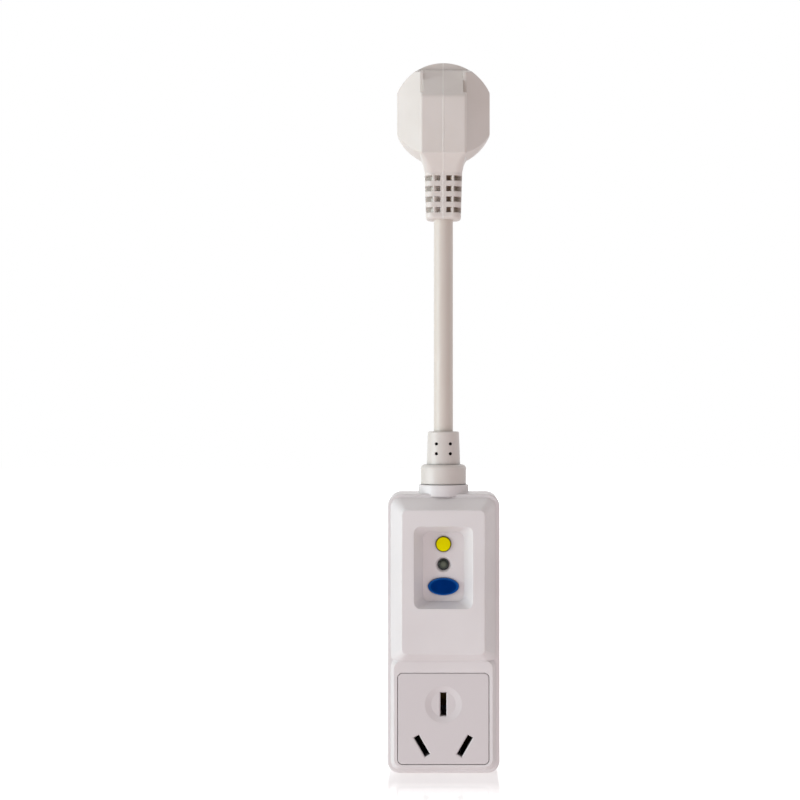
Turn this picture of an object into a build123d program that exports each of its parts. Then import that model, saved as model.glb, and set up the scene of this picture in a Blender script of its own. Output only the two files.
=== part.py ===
from build123d import *
import math
import os

os.makedirs("parts", exist_ok=True)

# A residual-current adapter lead: a wall plug, a short cord and a hand-sized
# switched-socket housing that hangs from it. Millimetres throughout.
# X runs to the viewer's right, Y away from the viewer and Z up. The origin is
# the centre of the plug's face, where the plug meets the wall socket.

# Blade pattern of a three-pin 16 A plug and socket, earth at the top
blade_width = 8.0
blade_thickness = 1.8
blade_length = 21.0
earth_extra_length = 3.0
live_spread = 8.23
live_drop = 4.75
earth_rise = 11.1
blade_tilt = 30

# Wall plug
disc_radius = 19.84
disc_half_width = 18.1
disc_rim = 6.5
disc_edge_round = 1.0
spine_depth = 27.0
spine_width = 17.9
spine_top_width = 15.3
spine_top_z = 16.5
spine_top_depth = 9.0
spine_slope_z = 4.0
spine_bottom_z = -17.9
spine_round = 1.1
wing_depth = 16.0
wing_draft = 8
crown_z = 17.1
crown_drop = 2.4
pattern_drop = 3.0

# Strain relief of the plug
boot_top_z = -21.5
boot_bottom_z = -42.2
boot_top_width = 14.5
boot_bottom_width = 13.5
boot_corner = 3.3
neck_low_z = -24.6
neck_mid_z = -21.3
neck_mid_width = 15.4
neck_mid_depth = 19.5
neck_mid_shift = 1.25
neck_mid_corner = 2.6
window_rows = 4
window_height = 2.0
window_pitch = 4.05
window_first_drop = 5.1
window_rib = 2.3
window_corner_rib = 0.65
window_rib_turn = 28
window_core_radius = 4.9
boot_end_round = 1.2

# Cord
cord_diameter = 7.4
cord_free_length = 82.0
cord_depth = 12.0
core_diameter = 2.0
core_spread = 1.5
earth_core_spread = 1.8
live_core_rise = 0.7
fit_gap = 0.05
seat_gap = 0.1

# Cord gland of the housing
gland_boot_length = 12.8
gland_boot_top_radius = 6.05
gland_boot_low_radius = 6.5
gland_body_radius = 8.8
gland_body_length = 7.5
gland_body_round = 1.6
gland_neck_radius = 5.0
gland_flange_radius = 6.2
gland_flange_length = 2.0
gland_hole_radius = 0.6
gland_hole_spread = 2.68
gland_hole_depth = 2.0
gland_hole_first_drop = 4.7
gland_hole_pitch = 3.8

# Housing
collar_radius = 9.75
collar_height = 3.4
collar_seam = 0.2
housing_width = 43.2
housing_height = 107.1
housing_corner = 4.8
back_room = 3.4
wall = 2.2
front_half_depth = 16.5
back_edge_round = 1.6
ledge_round = 0.7
seam_chamfer = 0.25
lip_height = 1.2
lip_thickness = 1.0

# Raised block and socket block on the front cover
block_inset = 1.4
block_length = 63.5
block_height = 8.0
block_corner = 3.6
bevel_run = 4.3
plateau_corner = 2.2
plateau_round = 0.6
block_overlap = 2.4
socket_block_height = 2.0
socket_bevel_run = 1.25

# Recess with the controls
recess_width = 22.4
recess_length = 31.3
recess_top_drop = 11.9
recess_depth = 6.0
recess_floor_width = 15.7
recess_floor_length = 26.4
recess_floor_shift = 0.15
recess_corner = 2.6
recess_wall = 1.6
recess_floor_wall = 2.0

# Controls
test_button_radius = 2.95
test_button_proud = 1.0
test_travel = 1.2
lens_radius = 2.15
lens_dish_radius = 3.1
lens_dish_depth = 0.8
reset_button_length = 11.8
reset_button_height = 6.6
reset_button_proud = 1.5
reset_travel = 2.0
test_button_drop = 19.0
lens_drop = 26.8
reset_button_drop = 35.2
flange_width = 0.9
flange_thickness = 1.0
stem_radius = 1.5
button_round = 0.35

# Socket plate
plate_margin = 4.2
plate_side = housing_width - 2 * plate_margin
plate_corner = 1.8
plate_seam = 0.2
plate_thickness = 2.5
plate_edge_round = 0.3
plate_drop = 85.9
slot_width = 2.2
slot_length = 8.5
earth_slot_width = 2.3
earth_slot_length = 8.9
slot_rim = 0.35
dish_radius = 7.1
dish_floor_radius = 4.7
dish_depth = 0.6
chimney_wall = 1.2
chimney_length = 3.0
plate_lip = 1.2
pattern_below_centre = 5.6

# Circuit board and the switch on it
board_thickness = 1.6
board_gap = 0.8
board_step = 3.8
board_left = housing_width / 2 - wall - board_gap
board_right = board_left - board_step
board_top_drop = 13.1
board_length = 50.4
strip_thickness = 0.8
tip_room = 0.6
latch_travel = 1.6
sheet_thickness = 0.8
overrun = 1.0

# Places worked out from the sizes above
cord_y = -cord_depth
gland_top_z = boot_bottom_z - cord_free_length
gland_body_z = gland_top_z - gland_boot_length
gland_low_z = gland_body_z - gland_body_length
collar_top_z = gland_low_z - collar_seam
housing_top_z = collar_top_z - collar_height
housing_low_z = housing_top_z - housing_height
housing_mid_z = (housing_top_z + housing_low_z) / 2
plateau_y = cord_y - front_half_depth
ledge_y = plateau_y + block_height
socket_face_y = ledge_y - socket_block_height
ledge_inner_y = ledge_y + wall
recess_floor_y = plateau_y + recess_depth
floor_under_y = recess_floor_y + recess_floor_wall
block_top_z = housing_top_z - block_inset
block_low_z = block_top_z - block_length
block_mid_z = (block_top_z + block_low_z) / 2
block_width = housing_width - 2 * block_inset
socket_block_top_z = block_low_z + block_overlap
socket_block_low_z = housing_low_z + block_inset
socket_block_mid_z = (socket_block_top_z + socket_block_low_z) / 2
socket_block_length = socket_block_top_z - socket_block_low_z
test_z = housing_top_z - test_button_drop
lens_z = housing_top_z - lens_drop
reset_z = housing_top_z - reset_button_drop
plate_mid_z = housing_top_z - plate_drop
plate_back_y = socket_face_y + plate_thickness
pattern_z = -pattern_drop
socket_pattern_z = plate_mid_z - pattern_below_centre
line_blade_tip_y = socket_face_y + blade_length
strip_y = line_blade_tip_y + tip_room
back_inner_y = strip_y + strip_thickness + back_room
housing_back_y = back_inner_y + wall
board_back_y = strip_y
board_front_y = board_back_y - board_thickness
board_top_z = housing_top_z - board_top_drop
board_low_z = board_top_z - board_length

# Screws that close the housing
screw_inset = 6.6
screw_side = housing_width / 2 - screw_inset
screw_top_drop = 7.4
screw_low_rise = 6.8
screw_shank_radius = 1.3
screw_head_radius = 2.6
screw_head_height = 2.0
screw_length = 9.5
screw_seat = 5.0
well_radius = 3.0
well_wall = 1.2
boss_radius = 2.8
cross_width = 0.7
cross_depth = 1.1

screw_places = [
    (side * screw_side, z)
    for z in (housing_top_z - screw_top_drop, housing_low_z + screw_low_rise)
    for side in (-1, 1)
]


# A solid whose outline lies in X and Z, reaching from front_y to back_y
def slab(outline, x, z, front_y, back_y, turn=0):
    place = Plane.XZ.offset(-back_y) * Pos(x, z) * Rot(0, 0, turn)
    return extrude(place * outline, back_y - front_y)


# A block between two limits on each axis
def block(x_low, x_high, y_low, y_high, z_low, z_high):
    middle = Pos((x_low + x_high) / 2, (y_low + y_high) / 2, (z_low + z_high) / 2)
    return middle * Box(x_high - x_low, y_high - y_low, z_high - z_low)


# An upright cylinder between two heights
def upright(x, y, radius, z_low, z_high):
    return extrude(Plane.XY.offset(z_low) * Pos(x, y) * Circle(radius), z_high - z_low)


# A four-sided block with rounded corners that narrows from its back outline to its front one
def tapered(back_size, back_corner, back_z, back_y, front_size, front_corner, front_z, front_y):
    back = Plane.XZ.offset(-back_y) * Pos(0, back_z) * RectangleRounded(*back_size, back_corner)
    front = Plane.XZ.offset(-front_y) * Pos(0, front_z) * RectangleRounded(*front_size, front_corner)
    return loft([back, front], ruled=True)


# A wire or cord: a round section carried along straight runs joined by arcs
def wire(points, bend, radius):
    if len(points) > 2:
        path = FilletPolyline(*points, radius=bend)
    else:
        path = Line(*points)
    return sweep(Plane(origin=path @ 0, z_dir=path % 0) * Circle(radius), path=path)


# A compression spring along an axis, from its start
def spring(start, direction, length, radius, wire_radius, turns):
    pitch = (length - 2 * wire_radius) / turns
    shift = Vector(*direction) * wire_radius
    middle = Vector(*start) + shift
    coil = Helix(pitch, length - 2 * wire_radius, radius, center=middle, direction=direction)
    return sweep(Plane(origin=coil @ 0, z_dir=coil % 0) * Circle(wire_radius), path=coil, is_frenet=True)


# Where the three blades stand around a pattern's centre: place across, height, turn
def blade_places(centre_z):
    low_z = centre_z - live_drop
    return {
        "neutral": (-live_spread, low_z, blade_tilt),
        "line": (live_spread, low_z, -blade_tilt),
        "earth": (0, centre_z + earth_rise, 0),
    }


# Wall plug

carrier_radius = 15.5
carrier_lift = 0.35
carrier_depth = 7.0
blade_tip_chamfer = 0.6
strap_thickness = 1.5
strap_width = 4.0
barrel_radius = 1.7
barrel_length = 5.5
barrel_side = 5.6
live_barrel_z = -12.0
earth_barrel_z = 0.0
plug_core_end_z = -19.0
plug_core_straight = 1.6
plug_core_rise = 4.2
plug_core_bend = 1.9
barrel_y = -carrier_depth - strap_thickness - barrel_radius


def blade(name):
    x, z, turn = blade_places(pattern_z)[name]
    length = blade_length + earth_extra_length if name == "earth" else blade_length
    flat = slab(Rectangle(blade_thickness, blade_width), x, z, -carrier_depth, length, turn)
    tip = flat.faces().sort_by(Axis.Y)[-1]
    return chamfer(tip.edges(), blade_tip_chamfer)


def barrel_place(name):
    side = {"neutral": -barrel_side, "line": barrel_side, "earth": 0}[name]
    return side, earth_barrel_z if name == "earth" else live_barrel_z


# The strap that carries a blade's crimp barrel, seen from the front
def strap_outline(name, grow=0):
    x, z, turn = blade_places(pattern_z)[name]
    barrel_x, barrel_z = barrel_place(name)
    low_x = min(x, barrel_x) - strap_width / 2 - grow
    high_x = max(x, barrel_x) + strap_width / 2 + grow
    low_z = barrel_z - grow
    high_z = z + strap_width / 2 + grow
    return low_x, high_x, low_z, high_z


def crimp(name, grow=0):
    low_x, high_x, low_z, high_z = strap_outline(name, grow)
    barrel_x, barrel_z = barrel_place(name)
    front_y = -carrier_depth - strap_thickness - grow
    strap = block(low_x, high_x, front_y, -carrier_depth, low_z, high_z)
    barrel = upright(barrel_x, barrel_y, barrel_radius + grow, barrel_z - grow, barrel_z + barrel_length + grow)
    web = block(barrel_x - barrel_radius / 2, barrel_x + barrel_radius / 2, barrel_y, front_y + grow + fit_gap,
                barrel_z, barrel_z + barrel_length)
    return strap + barrel + web


def pin_of(name):
    barrel_x, barrel_z = barrel_place(name)
    bore = upright(barrel_x, barrel_y, core_diameter / 2 + fit_gap, barrel_z - overrun, barrel_z + barrel_length / 2)
    return blade(name) + crimp(name) - bore


def pin_carrier():
    disc = slab(Circle(carrier_radius), 0, pattern_z + carrier_lift, -carrier_depth, 0)
    for x, z, turn in blade_places(pattern_z).values():
        hole = Rectangle(blade_thickness + fit_gap, blade_width + fit_gap)
        disc -= slab(hole, x, z, -carrier_depth - overrun, overrun, turn)
    return disc


# Cores inside the plug, from the end of the sheath up into each blade's barrel
def plug_core(name, grow=0):
    barrel_x, barrel_z = barrel_place(name)
    side = {"neutral": -core_spread, "line": core_spread, "earth": 0}[name]
    start_y = cord_y - earth_core_spread if name == "earth" else cord_y + live_core_rise
    bend_z = plug_core_end_z + plug_core_straight
    points = [
        (side, start_y, plug_core_end_z),
        (side, start_y, bend_z),
        (barrel_x, barrel_y, bend_z + plug_core_rise),
        (barrel_x, barrel_y, barrel_z + barrel_length / 2),
    ]
    return wire(points, plug_core_bend, core_diameter / 2 + grow)


def boot_section(width, z):
    return Plane.XY.offset(z) * Pos(0, cord_y) * RectangleRounded(width, width, boot_corner)


def boot_windows():
    cuts = []
    reach = boot_top_width
    for row in range(window_rows):
        high_z = boot_top_z - window_first_drop + overrun - row * window_pitch
        low_z = high_z - window_height
        ring = block(-reach, reach, cord_y - reach, cord_y + reach, low_z, high_z)
        ring -= upright(0, cord_y, window_core_radius, low_z - overrun, high_z + overrun)
        middle = Plane.XY.offset(low_z - overrun) * Pos(0, cord_y)
        height = window_height + 2 * overrun
        for turn in (0, 90):
            rib = middle * Rot(0, 0, turn) * Rectangle(window_rib, 4 * reach)
            ring -= extrude(rib, height)
        for turn in (window_rib_turn, -window_rib_turn):
            rib = middle * Rot(0, 0, turn) * Rectangle(window_corner_rib, 4 * reach)
            ring -= extrude(rib, height)
        cuts.append(ring)
    return cuts


def plug_outline():
    rim = slab(Circle(disc_radius), 0, 0, -disc_rim, 0)
    front = Plane.XZ.offset(disc_rim) * Circle(disc_radius)
    rim += extrude(front, wing_depth - disc_rim, taper=wing_draft)
    roof_points = [
        (-disc_half_width, 0),
        (disc_half_width, 0),
        (disc_half_width, -disc_rim),
        (spine_width / 2, -wing_depth),
        (-spine_width / 2, -wing_depth),
        (-disc_half_width, -disc_rim),
    ]
    roof = Plane.XY.offset(-disc_radius - overrun) * make_face(Polyline(*roof_points, close=True))
    crown_points = [
        (-disc_rim, crown_z),
        (-wing_depth - overrun, crown_z - crown_drop * (wing_depth + overrun - disc_rim) / (wing_depth - disc_rim)),
        (-wing_depth - overrun, disc_radius + overrun),
        (-disc_rim, disc_radius + overrun),
    ]
    crown = Plane.YZ.offset(-disc_radius) * make_face(Polyline(*crown_points, close=True))
    body = rim & extrude(roof, 2 * (disc_radius + overrun))
    return body - extrude(crown, 2 * disc_radius)


def plug_spine():
    side_points = [
        (0, spine_top_z),
        (-spine_top_depth, spine_top_z),
        (-spine_depth, spine_slope_z),
        (-spine_depth, spine_bottom_z),
        (0, spine_bottom_z),
    ]
    profile = Plane.YZ.offset(-spine_width / 2) * make_face(Polyline(*side_points, close=True))
    spine = extrude(profile, spine_width)
    slope_edges = spine.edges().filter_by(Axis.X).group_by(Axis.Y)[0]
    spine = fillet(slope_edges.sort_by(Axis.Z)[-1:], spine_round * 2)
    trim = (spine_width - spine_top_width) / 2
    for side in (-1, 1):
        x_near = side * spine_top_width / 2
        x_far = side * (spine_width / 2 + overrun)
        spine -= block(
            min(x_near, x_far), max(x_near, x_far),
            -spine_depth - overrun, overrun,
            spine_slope_z + trim, spine_top_z + overrun,
        )
    front = spine.edges().filter_by(Axis.Z).group_by(Axis.Y)[0]
    spine = fillet(front, spine_round)
    return spine


# The sloping channel that runs down between the wings onto the spine
def top_slope():
    high_z = disc_radius + overrun
    front_y = -spine_depth - overrun
    points = [
        (-spine_top_depth, high_z),
        (-spine_top_depth, spine_top_z),
        (-spine_depth, spine_slope_z),
        (front_y, spine_slope_z),
        (front_y, high_z),
    ]
    side = Plane.YZ.offset(-spine_top_width / 2) * make_face(Polyline(*points, close=True))
    return extrude(side, spine_top_width)


def plug_body():
    body = plug_outline()
    rim = body.faces().sort_by(Axis.Y)[-1]
    body = fillet(rim.edges(), disc_edge_round * 0.5)
    body += plug_spine()
    body -= top_slope()
    back_step = disc_edge_round / 2
    high = Plane.XY.offset(spine_bottom_z) * Pos(0, -(spine_depth + back_step) / 2) * RectangleRounded(
        spine_width, spine_depth - back_step, spine_round)
    middle = Plane.XY.offset(neck_mid_z) * Pos(0, cord_y - neck_mid_shift) * RectangleRounded(
        neck_mid_width, neck_mid_depth, neck_mid_corner)
    low = boot_section(boot_top_width, neck_low_z)
    body += loft([high, middle, low])
    boot = loft([low, boot_section(boot_bottom_width, boot_bottom_z)], ruled=True)
    end = boot.faces().sort_by(Axis.Z)[0]
    body += fillet(end.edges(), boot_end_round)
    for cut in boot_windows():
        body -= cut
    body -= upright(0, cord_y, cord_diameter / 2 + fit_gap, boot_bottom_z - overrun, plug_core_end_z)
    body -= slab(Circle(carrier_radius + fit_gap), 0, pattern_z + carrier_lift, -carrier_depth, overrun)
    for name in ("neutral", "line", "earth"):
        body -= crimp(name, fit_gap)
        body -= plug_core(name, fit_gap)
    return body


# Cord

cord_tail = 11.0
housing_cord_end_z = housing_top_z - cord_tail


def supply_cord():
    cord = upright(0, cord_y, cord_diameter / 2, housing_cord_end_z, plug_core_end_z)
    return cord


def cord_gland():
    inner = cord_diameter / 2 + fit_gap
    neck_low_z = housing_top_z - wall - fit_gap
    flange_low_z = neck_low_z - gland_flange_length
    outline = [
        (inner, gland_top_z),
        (gland_boot_top_radius, gland_top_z),
        (gland_boot_low_radius, gland_body_z),
        (gland_body_radius, gland_body_z),
        (gland_body_radius, gland_low_z),
        (gland_neck_radius, gland_low_z),
        (gland_neck_radius, neck_low_z),
        (gland_flange_radius, neck_low_z),
        (gland_flange_radius, flange_low_z),
        (inner, flange_low_z),
    ]
    profile = Plane.XZ * make_face(Polyline(*outline, close=True))
    gland = Pos(0, cord_y) * revolve(profile, Axis.Z)
    shoulder = [
        edge for edge in gland.edges().filter_by(GeomType.CIRCLE)
        if abs(edge.radius - gland_body_radius) < fit_gap and edge.center().Z > gland_low_z + fit_gap
    ]
    gland = fillet(shoulder, gland_body_round)
    mouth = [
        edge for edge in gland.edges().filter_by(GeomType.CIRCLE)
        if abs(edge.radius - gland_boot_top_radius) < fit_gap
    ]
    gland = fillet(mouth, gland_hole_radius)
    for x in (-gland_hole_spread, gland_hole_spread):
        for row in range(2):
            z = gland_top_z - gland_hole_first_drop - row * gland_hole_pitch
            skin = math.sqrt(gland_boot_top_radius ** 2 - gland_hole_spread ** 2)
            for face in (-1, 1):
                near_y = cord_y + face * (skin - gland_hole_depth)
                far_y = cord_y + face * (gland_body_radius + overrun)
                gland -= slab(Circle(gland_hole_radius), x, z, min(near_y, far_y), max(near_y, far_y))
    return gland


# Housing covers

def outer_slab(inset, front_y, back_y):
    outline = RectangleRounded(
        housing_width - 2 * inset, housing_height - 2 * inset, housing_corner - inset)
    return slab(outline, 0, housing_mid_z, front_y, back_y)


def raised_block(inset, back_y, front_y, bevel):
    back_size = (block_width - 2 * inset, block_length - 2 * inset)
    front_size = (back_size[0] - 2 * bevel, back_size[1] - 2 * bevel)
    return tapered(
        back_size, block_corner - inset / 2, block_mid_z, back_y,
        front_size, plateau_corner - inset / 4, block_mid_z, front_y)


def recess_block(grow, floor_y, top_y):
    floor_size = (recess_floor_width + 2 * grow, recess_floor_length + 2 * grow)
    top_size = (recess_width + 2 * grow, recess_length + 2 * grow)
    top_mid_z = housing_top_z - recess_top_drop - recess_length / 2
    return tapered(
        floor_size, recess_corner, top_mid_z - recess_floor_shift, floor_y,
        top_size, recess_corner, top_mid_z, top_y)


def collar_half(front):
    ring = upright(0, cord_y, collar_radius, housing_top_z - overrun, collar_top_z)
    rim = ring.faces().sort_by(Axis.Z)[-1]
    ring = fillet(rim.edges(), ledge_round * 0.6)
    reach = collar_radius + overrun
    if front:
        keep = block(-reach, reach, cord_y - reach, cord_y, housing_top_z - 2 * overrun, collar_top_z + overrun)
    else:
        keep = block(-reach, reach, cord_y, cord_y + reach, housing_top_z - 2 * overrun, collar_top_z + overrun)
    return ring & keep


def neck_bore():
    bore = gland_neck_radius + seat_gap
    return upright(0, cord_y, bore, housing_top_z - wall - overrun, collar_top_z + overrun)


def front_cover():
    shell = outer_slab(0, ledge_y, cord_y)
    rim = shell.faces().sort_by(Axis.Y)[0]
    shell = fillet(rim.edges(), ledge_round)
    seam = shell.faces().sort_by(Axis.Y)[-1]
    shell = chamfer(seam.edges(), seam_chamfer)
    upper = raised_block(0, ledge_y, plateau_y, bevel_run)
    plateau = upper.faces().sort_by(Axis.Y)[0]
    upper = fillet(plateau.edges(), plateau_round)
    back_size = (block_width, socket_block_length)
    front_size = (block_width - 2 * socket_bevel_run, socket_block_length - 2 * socket_bevel_run)
    lower = tapered(
        back_size, block_corner, socket_block_mid_z, ledge_y,
        front_size, block_corner - socket_bevel_run / 2, socket_block_mid_z, socket_face_y)
    shell = shell + upper + lower
    outside = shell
    shell -= outer_slab(wall, ledge_inner_y, cord_y + overrun)
    shell -= raised_block(wall, ledge_inner_y + overrun, plateau_y + wall, bevel_run)
    pocket = recess_block(recess_wall, floor_under_y, plateau_y + wall / 2)
    shell += pocket
    shell -= recess_block(0, recess_floor_y, plateau_y)
    for x, z in screw_places:
        boss = slab(Circle(boss_radius), x, z, plateau_y, cord_y) & outside
        shell += boss
    shell -= socket_opening()
    shell += collar_half(True)
    shell -= neck_bore()
    for x, z in screw_places:
        depth = screw_length - screw_seat + overrun
        shell -= slab(Circle(screw_shank_radius + fit_gap), x, z, cord_y - depth, cord_y + overrun)
    shell -= control_holes()
    groove = outer_slab(wall - lip_thickness - fit_gap, cord_y - lip_height - fit_gap, cord_y + overrun)
    groove -= outer_slab(wall, cord_y - lip_height - overrun, cord_y + 2 * overrun)
    for x, z in screw_places:
        groove -= slab(Circle(boss_radius), x, z, cord_y - lip_height - overrun, cord_y + overrun)
    return shell - groove


def socket_opening():
    side = plate_side + 2 * plate_seam
    frame = slab(RectangleRounded(side, side, plate_corner + plate_seam), 0, plate_mid_z,
                 socket_face_y - overrun, plate_back_y)
    inner = side - 2 * plate_lip
    frame += slab(RectangleRounded(inner, inner, plate_corner), 0, plate_mid_z,
                  plate_back_y - overrun, ledge_inner_y + overrun)
    return frame


def reset_outline(grow):
    return Ellipse(reset_button_length / 2 + grow, reset_button_height / 2 + grow)


def control_holes():
    front_y = recess_floor_y - overrun
    back_y = floor_under_y + overrun
    holes = slab(Circle(test_button_radius + seat_gap), 0, test_z, front_y, back_y)
    holes += slab(reset_outline(seat_gap), 0, reset_z, front_y, back_y)
    holes += slab(Circle(lens_radius + seat_gap), 0, lens_z, front_y, back_y)
    dish = Plane.XZ.offset(-(recess_floor_y + lens_dish_depth)) * Pos(0, lens_z)
    mouth = Plane.XZ.offset(-recess_floor_y) * Pos(0, lens_z)
    holes += loft([dish * Circle(lens_radius + seat_gap), mouth * Circle(lens_dish_radius)], ruled=True)
    return holes


clamp_post_side = 7.2
clamp_post_radius = 2.4
clamp_width = 4.4
clamp_thickness = 2.2
clamp_drop = 7.8
clamp_z = housing_top_z - clamp_drop
clamp_bite = 0.55
saddle_width = 2.0
clamp_screw_radius = 0.9
clamp_screw_length = 9.0
small_head_radius = 1.8
small_head_height = 1.3
small_pilot = clamp_screw_radius + fit_gap
board_post_radius = 2.3
board_screw_length = 5.0
clamp_y = cord_y - cord_diameter / 2 * clamp_bite
board_post_inset = 2.7
board_post_step = 6.8
board_post_side = board_right - board_post_step
board_post_left_drop = 17.6

board_post_places = [
    (-board_left + board_post_inset, board_top_z - board_post_left_drop),
    (board_right - board_post_inset, board_top_z - board_post_inset),
    (-board_post_side, board_low_z + board_post_inset),
    (board_post_side, board_low_z + board_post_inset),
]


def rear_cover():
    shell = outer_slab(0, cord_y, housing_back_y)
    back = shell.faces().sort_by(Axis.Y)[-1]
    shell = fillet(back.edges(), back_edge_round)
    seam = shell.faces().sort_by(Axis.Y)[0]
    shell = chamfer(seam.edges(), seam_chamfer)
    outside = shell
    shell -= outer_slab(wall, cord_y - overrun, back_inner_y)
    lip = outer_slab(wall - lip_thickness, cord_y - lip_height, cord_y + overrun)
    lip -= outer_slab(wall, cord_y - lip_height - overrun, cord_y + 2 * overrun)
    for x, z in screw_places:
        lip -= slab(Circle(boss_radius + seat_gap), x, z, cord_y - lip_height - overrun, cord_y)
    shell += lip
    shell += collar_half(False)
    for x, z in screw_places:
        shell += slab(Circle(well_radius + well_wall), x, z, cord_y, back_inner_y + fit_gap) & outside
    for x, z in board_post_places:
        shell += slab(Circle(board_post_radius), x, z, board_back_y, back_inner_y + fit_gap)
    for side in (-1, 1):
        shell += slab(Circle(clamp_post_radius), side * clamp_post_side, clamp_z,
                      clamp_y, back_inner_y + fit_gap)
    shell += slab(Rectangle(2 * clamp_post_side, saddle_width), 0, clamp_z, cord_y, back_inner_y + fit_gap)
    shell -= upright(0, cord_y, cord_diameter / 2 + fit_gap, clamp_z - clamp_width, clamp_z + clamp_width)
    for name in ("neutral", "line", "earth"):
        x, z, turn = blade_places(socket_pattern_z)[name]
        rest = earth_base_y if name == "earth" else strip_y + strip_thickness
        shell += slab(Rectangle(clip_width, clip_height), x, z, rest, back_inner_y + fit_gap, turn)
    shell -= neck_bore()
    for x, z in screw_places:
        shell -= slab(Circle(well_radius), x, z, cord_y + screw_seat, housing_back_y + overrun)
        shell -= slab(Circle(screw_shank_radius + seat_gap), x, z, cord_y - overrun, housing_back_y)
    for x, z in board_post_places:
        shell -= slab(Circle(small_pilot), x, z, board_back_y - overrun, back_inner_y)
    for side in (-1, 1):
        shell -= slab(Circle(small_pilot), side * clamp_post_side, clamp_z,
                      clamp_y - overrun, clamp_y + clamp_screw_length)
    return shell


# A cross-head screw whose head lies towards the back or towards the viewer
def cross_screw(x, z, seat_y, shank_radius, head_radius, head_height, length, to_back):
    way = 1 if to_back else -1
    head_y = seat_y + way * head_height
    head = slab(Circle(head_radius), x, z, min(seat_y, head_y), max(seat_y, head_y))
    rim = head.faces().sort_by(Axis.Y)[-1 if to_back else 0]
    head = fillet(rim.edges(), head_height * 0.3)
    tip_y = seat_y - way * length
    shank = slab(Circle(shank_radius), x, z, min(seat_y, tip_y), max(seat_y, tip_y))
    end = shank.faces().sort_by(Axis.Y)[0 if to_back else -1]
    shank = chamfer(end.edges(), shank_radius * 0.5)
    screw = head + shank
    width = cross_width * head_radius / screw_head_radius
    depth_y = head_y - way * cross_depth * head_height / screw_head_height
    over_y = head_y + way * overrun
    for turn in (45, -45):
        bar = Rectangle(width, head_radius * 1.3)
        screw -= slab(bar, x, z, min(depth_y, over_y), max(depth_y, over_y), turn)
    return screw


def housing_screws():
    return [
        cross_screw(x, z, cord_y + screw_seat, screw_shank_radius, screw_head_radius,
                    screw_head_height, screw_length, True)
        for x, z in screw_places
    ]


def board_screws():
    return [
        cross_screw(x, z, board_front_y, clamp_screw_radius, small_head_radius,
                    small_head_height, board_screw_length, False)
        for x, z in board_post_places
    ]


def cord_clamp():
    reach = clamp_post_side + clamp_post_radius
    bar_y = clamp_y - clamp_thickness
    bar = slab(RectangleRounded(2 * reach, clamp_width, clamp_width / 3), 0, clamp_z, bar_y, clamp_y)
    hump_reach = cord_diameter / 2 + strip_thickness
    bar += slab(Rectangle(2 * hump_reach, clamp_width), 0, clamp_z,
                cord_y - cord_diameter / 2 - clamp_thickness, clamp_y)
    bar -= upright(0, cord_y, cord_diameter / 2 + fit_gap, clamp_z - clamp_width, clamp_z + clamp_width)
    for side in (-1, 1):
        bar -= slab(Circle(clamp_screw_radius + seat_gap), side * clamp_post_side, clamp_z,
                    bar_y - overrun, clamp_y + overrun)
    return bar


def cord_clamp_screws():
    return [
        cross_screw(side * clamp_post_side, clamp_z, clamp_y - clamp_thickness, clamp_screw_radius,
                    small_head_radius, small_head_height, clamp_screw_length, False)
        for side in (-1, 1)
    ]


# Socket plate and the clips behind it

clip_leaf = 0.6
clip_grip = blade_thickness / 2 + fit_gap
clip_mouth = 2.1
clip_mouth_length = 2.6
clip_belly = 1.5
clip_width = 2 * (clip_belly + clip_leaf)
clip_height = blade_width + clip_leaf
clip_front_y = plate_back_y + chimney_length + seat_gap
earth_base_y = strip_y + earth_extra_length + strip_thickness


def slot_outline(name, grow=0):
    if name == "earth":
        return Rectangle(earth_slot_width + 2 * grow, earth_slot_length + 2 * grow)
    return Rectangle(slot_width + 2 * grow, slot_length + 2 * grow)


def socket_plate():
    plate = slab(RectangleRounded(plate_side, plate_side, plate_corner), 0, plate_mid_z,
                 socket_face_y, plate_back_y)
    face = plate.faces().sort_by(Axis.Y)[0]
    plate = fillet(face.edges(), plate_edge_round)
    places = blade_places(socket_pattern_z)
    x, z, turn = places["earth"]
    spread = (dish_radius - dish_floor_radius) * overrun / dish_depth
    dish = Cone(dish_floor_radius, dish_radius + spread, dish_depth + overrun)
    plate -= Pos(x, socket_face_y + (dish_depth - overrun) / 2, z) * Rot(90, 0, 0) * dish
    for name, (x, z, turn) in places.items():
        plate += slab(slot_outline(name, chimney_wall), x, z, plate_back_y,
                      plate_back_y + chimney_length, turn)
    for name, (x, z, turn) in places.items():
        top_y = socket_face_y + dish_depth if name == "earth" else socket_face_y
        plate -= slab(slot_outline(name), x, z, socket_face_y - overrun,
                      plate_back_y + chimney_length + overrun, turn)
        low = Plane.XZ.offset(-(top_y + slot_rim)) * Pos(x, z) * Rot(0, 0, turn) * slot_outline(name)
        high = Plane.XZ.offset(-top_y) * Pos(x, z) * Rot(0, 0, turn) * slot_outline(name, slot_rim)
        plate -= loft([low, high], ruled=True)
    return plate


# Half of a clip's section: across the blade first, then depth
def leaf_points(base_y):
    return [
        (clip_mouth, clip_front_y),
        (clip_mouth + clip_leaf, clip_front_y),
        (clip_grip + clip_leaf, clip_front_y + clip_mouth_length),
        (clip_belly + clip_leaf, clip_front_y + 2 * clip_mouth_length),
        (clip_belly + clip_leaf, base_y),
        (clip_belly, base_y),
        (clip_belly, clip_front_y + 2 * clip_mouth_length),
        (clip_grip, clip_front_y + clip_mouth_length),
    ]


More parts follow.
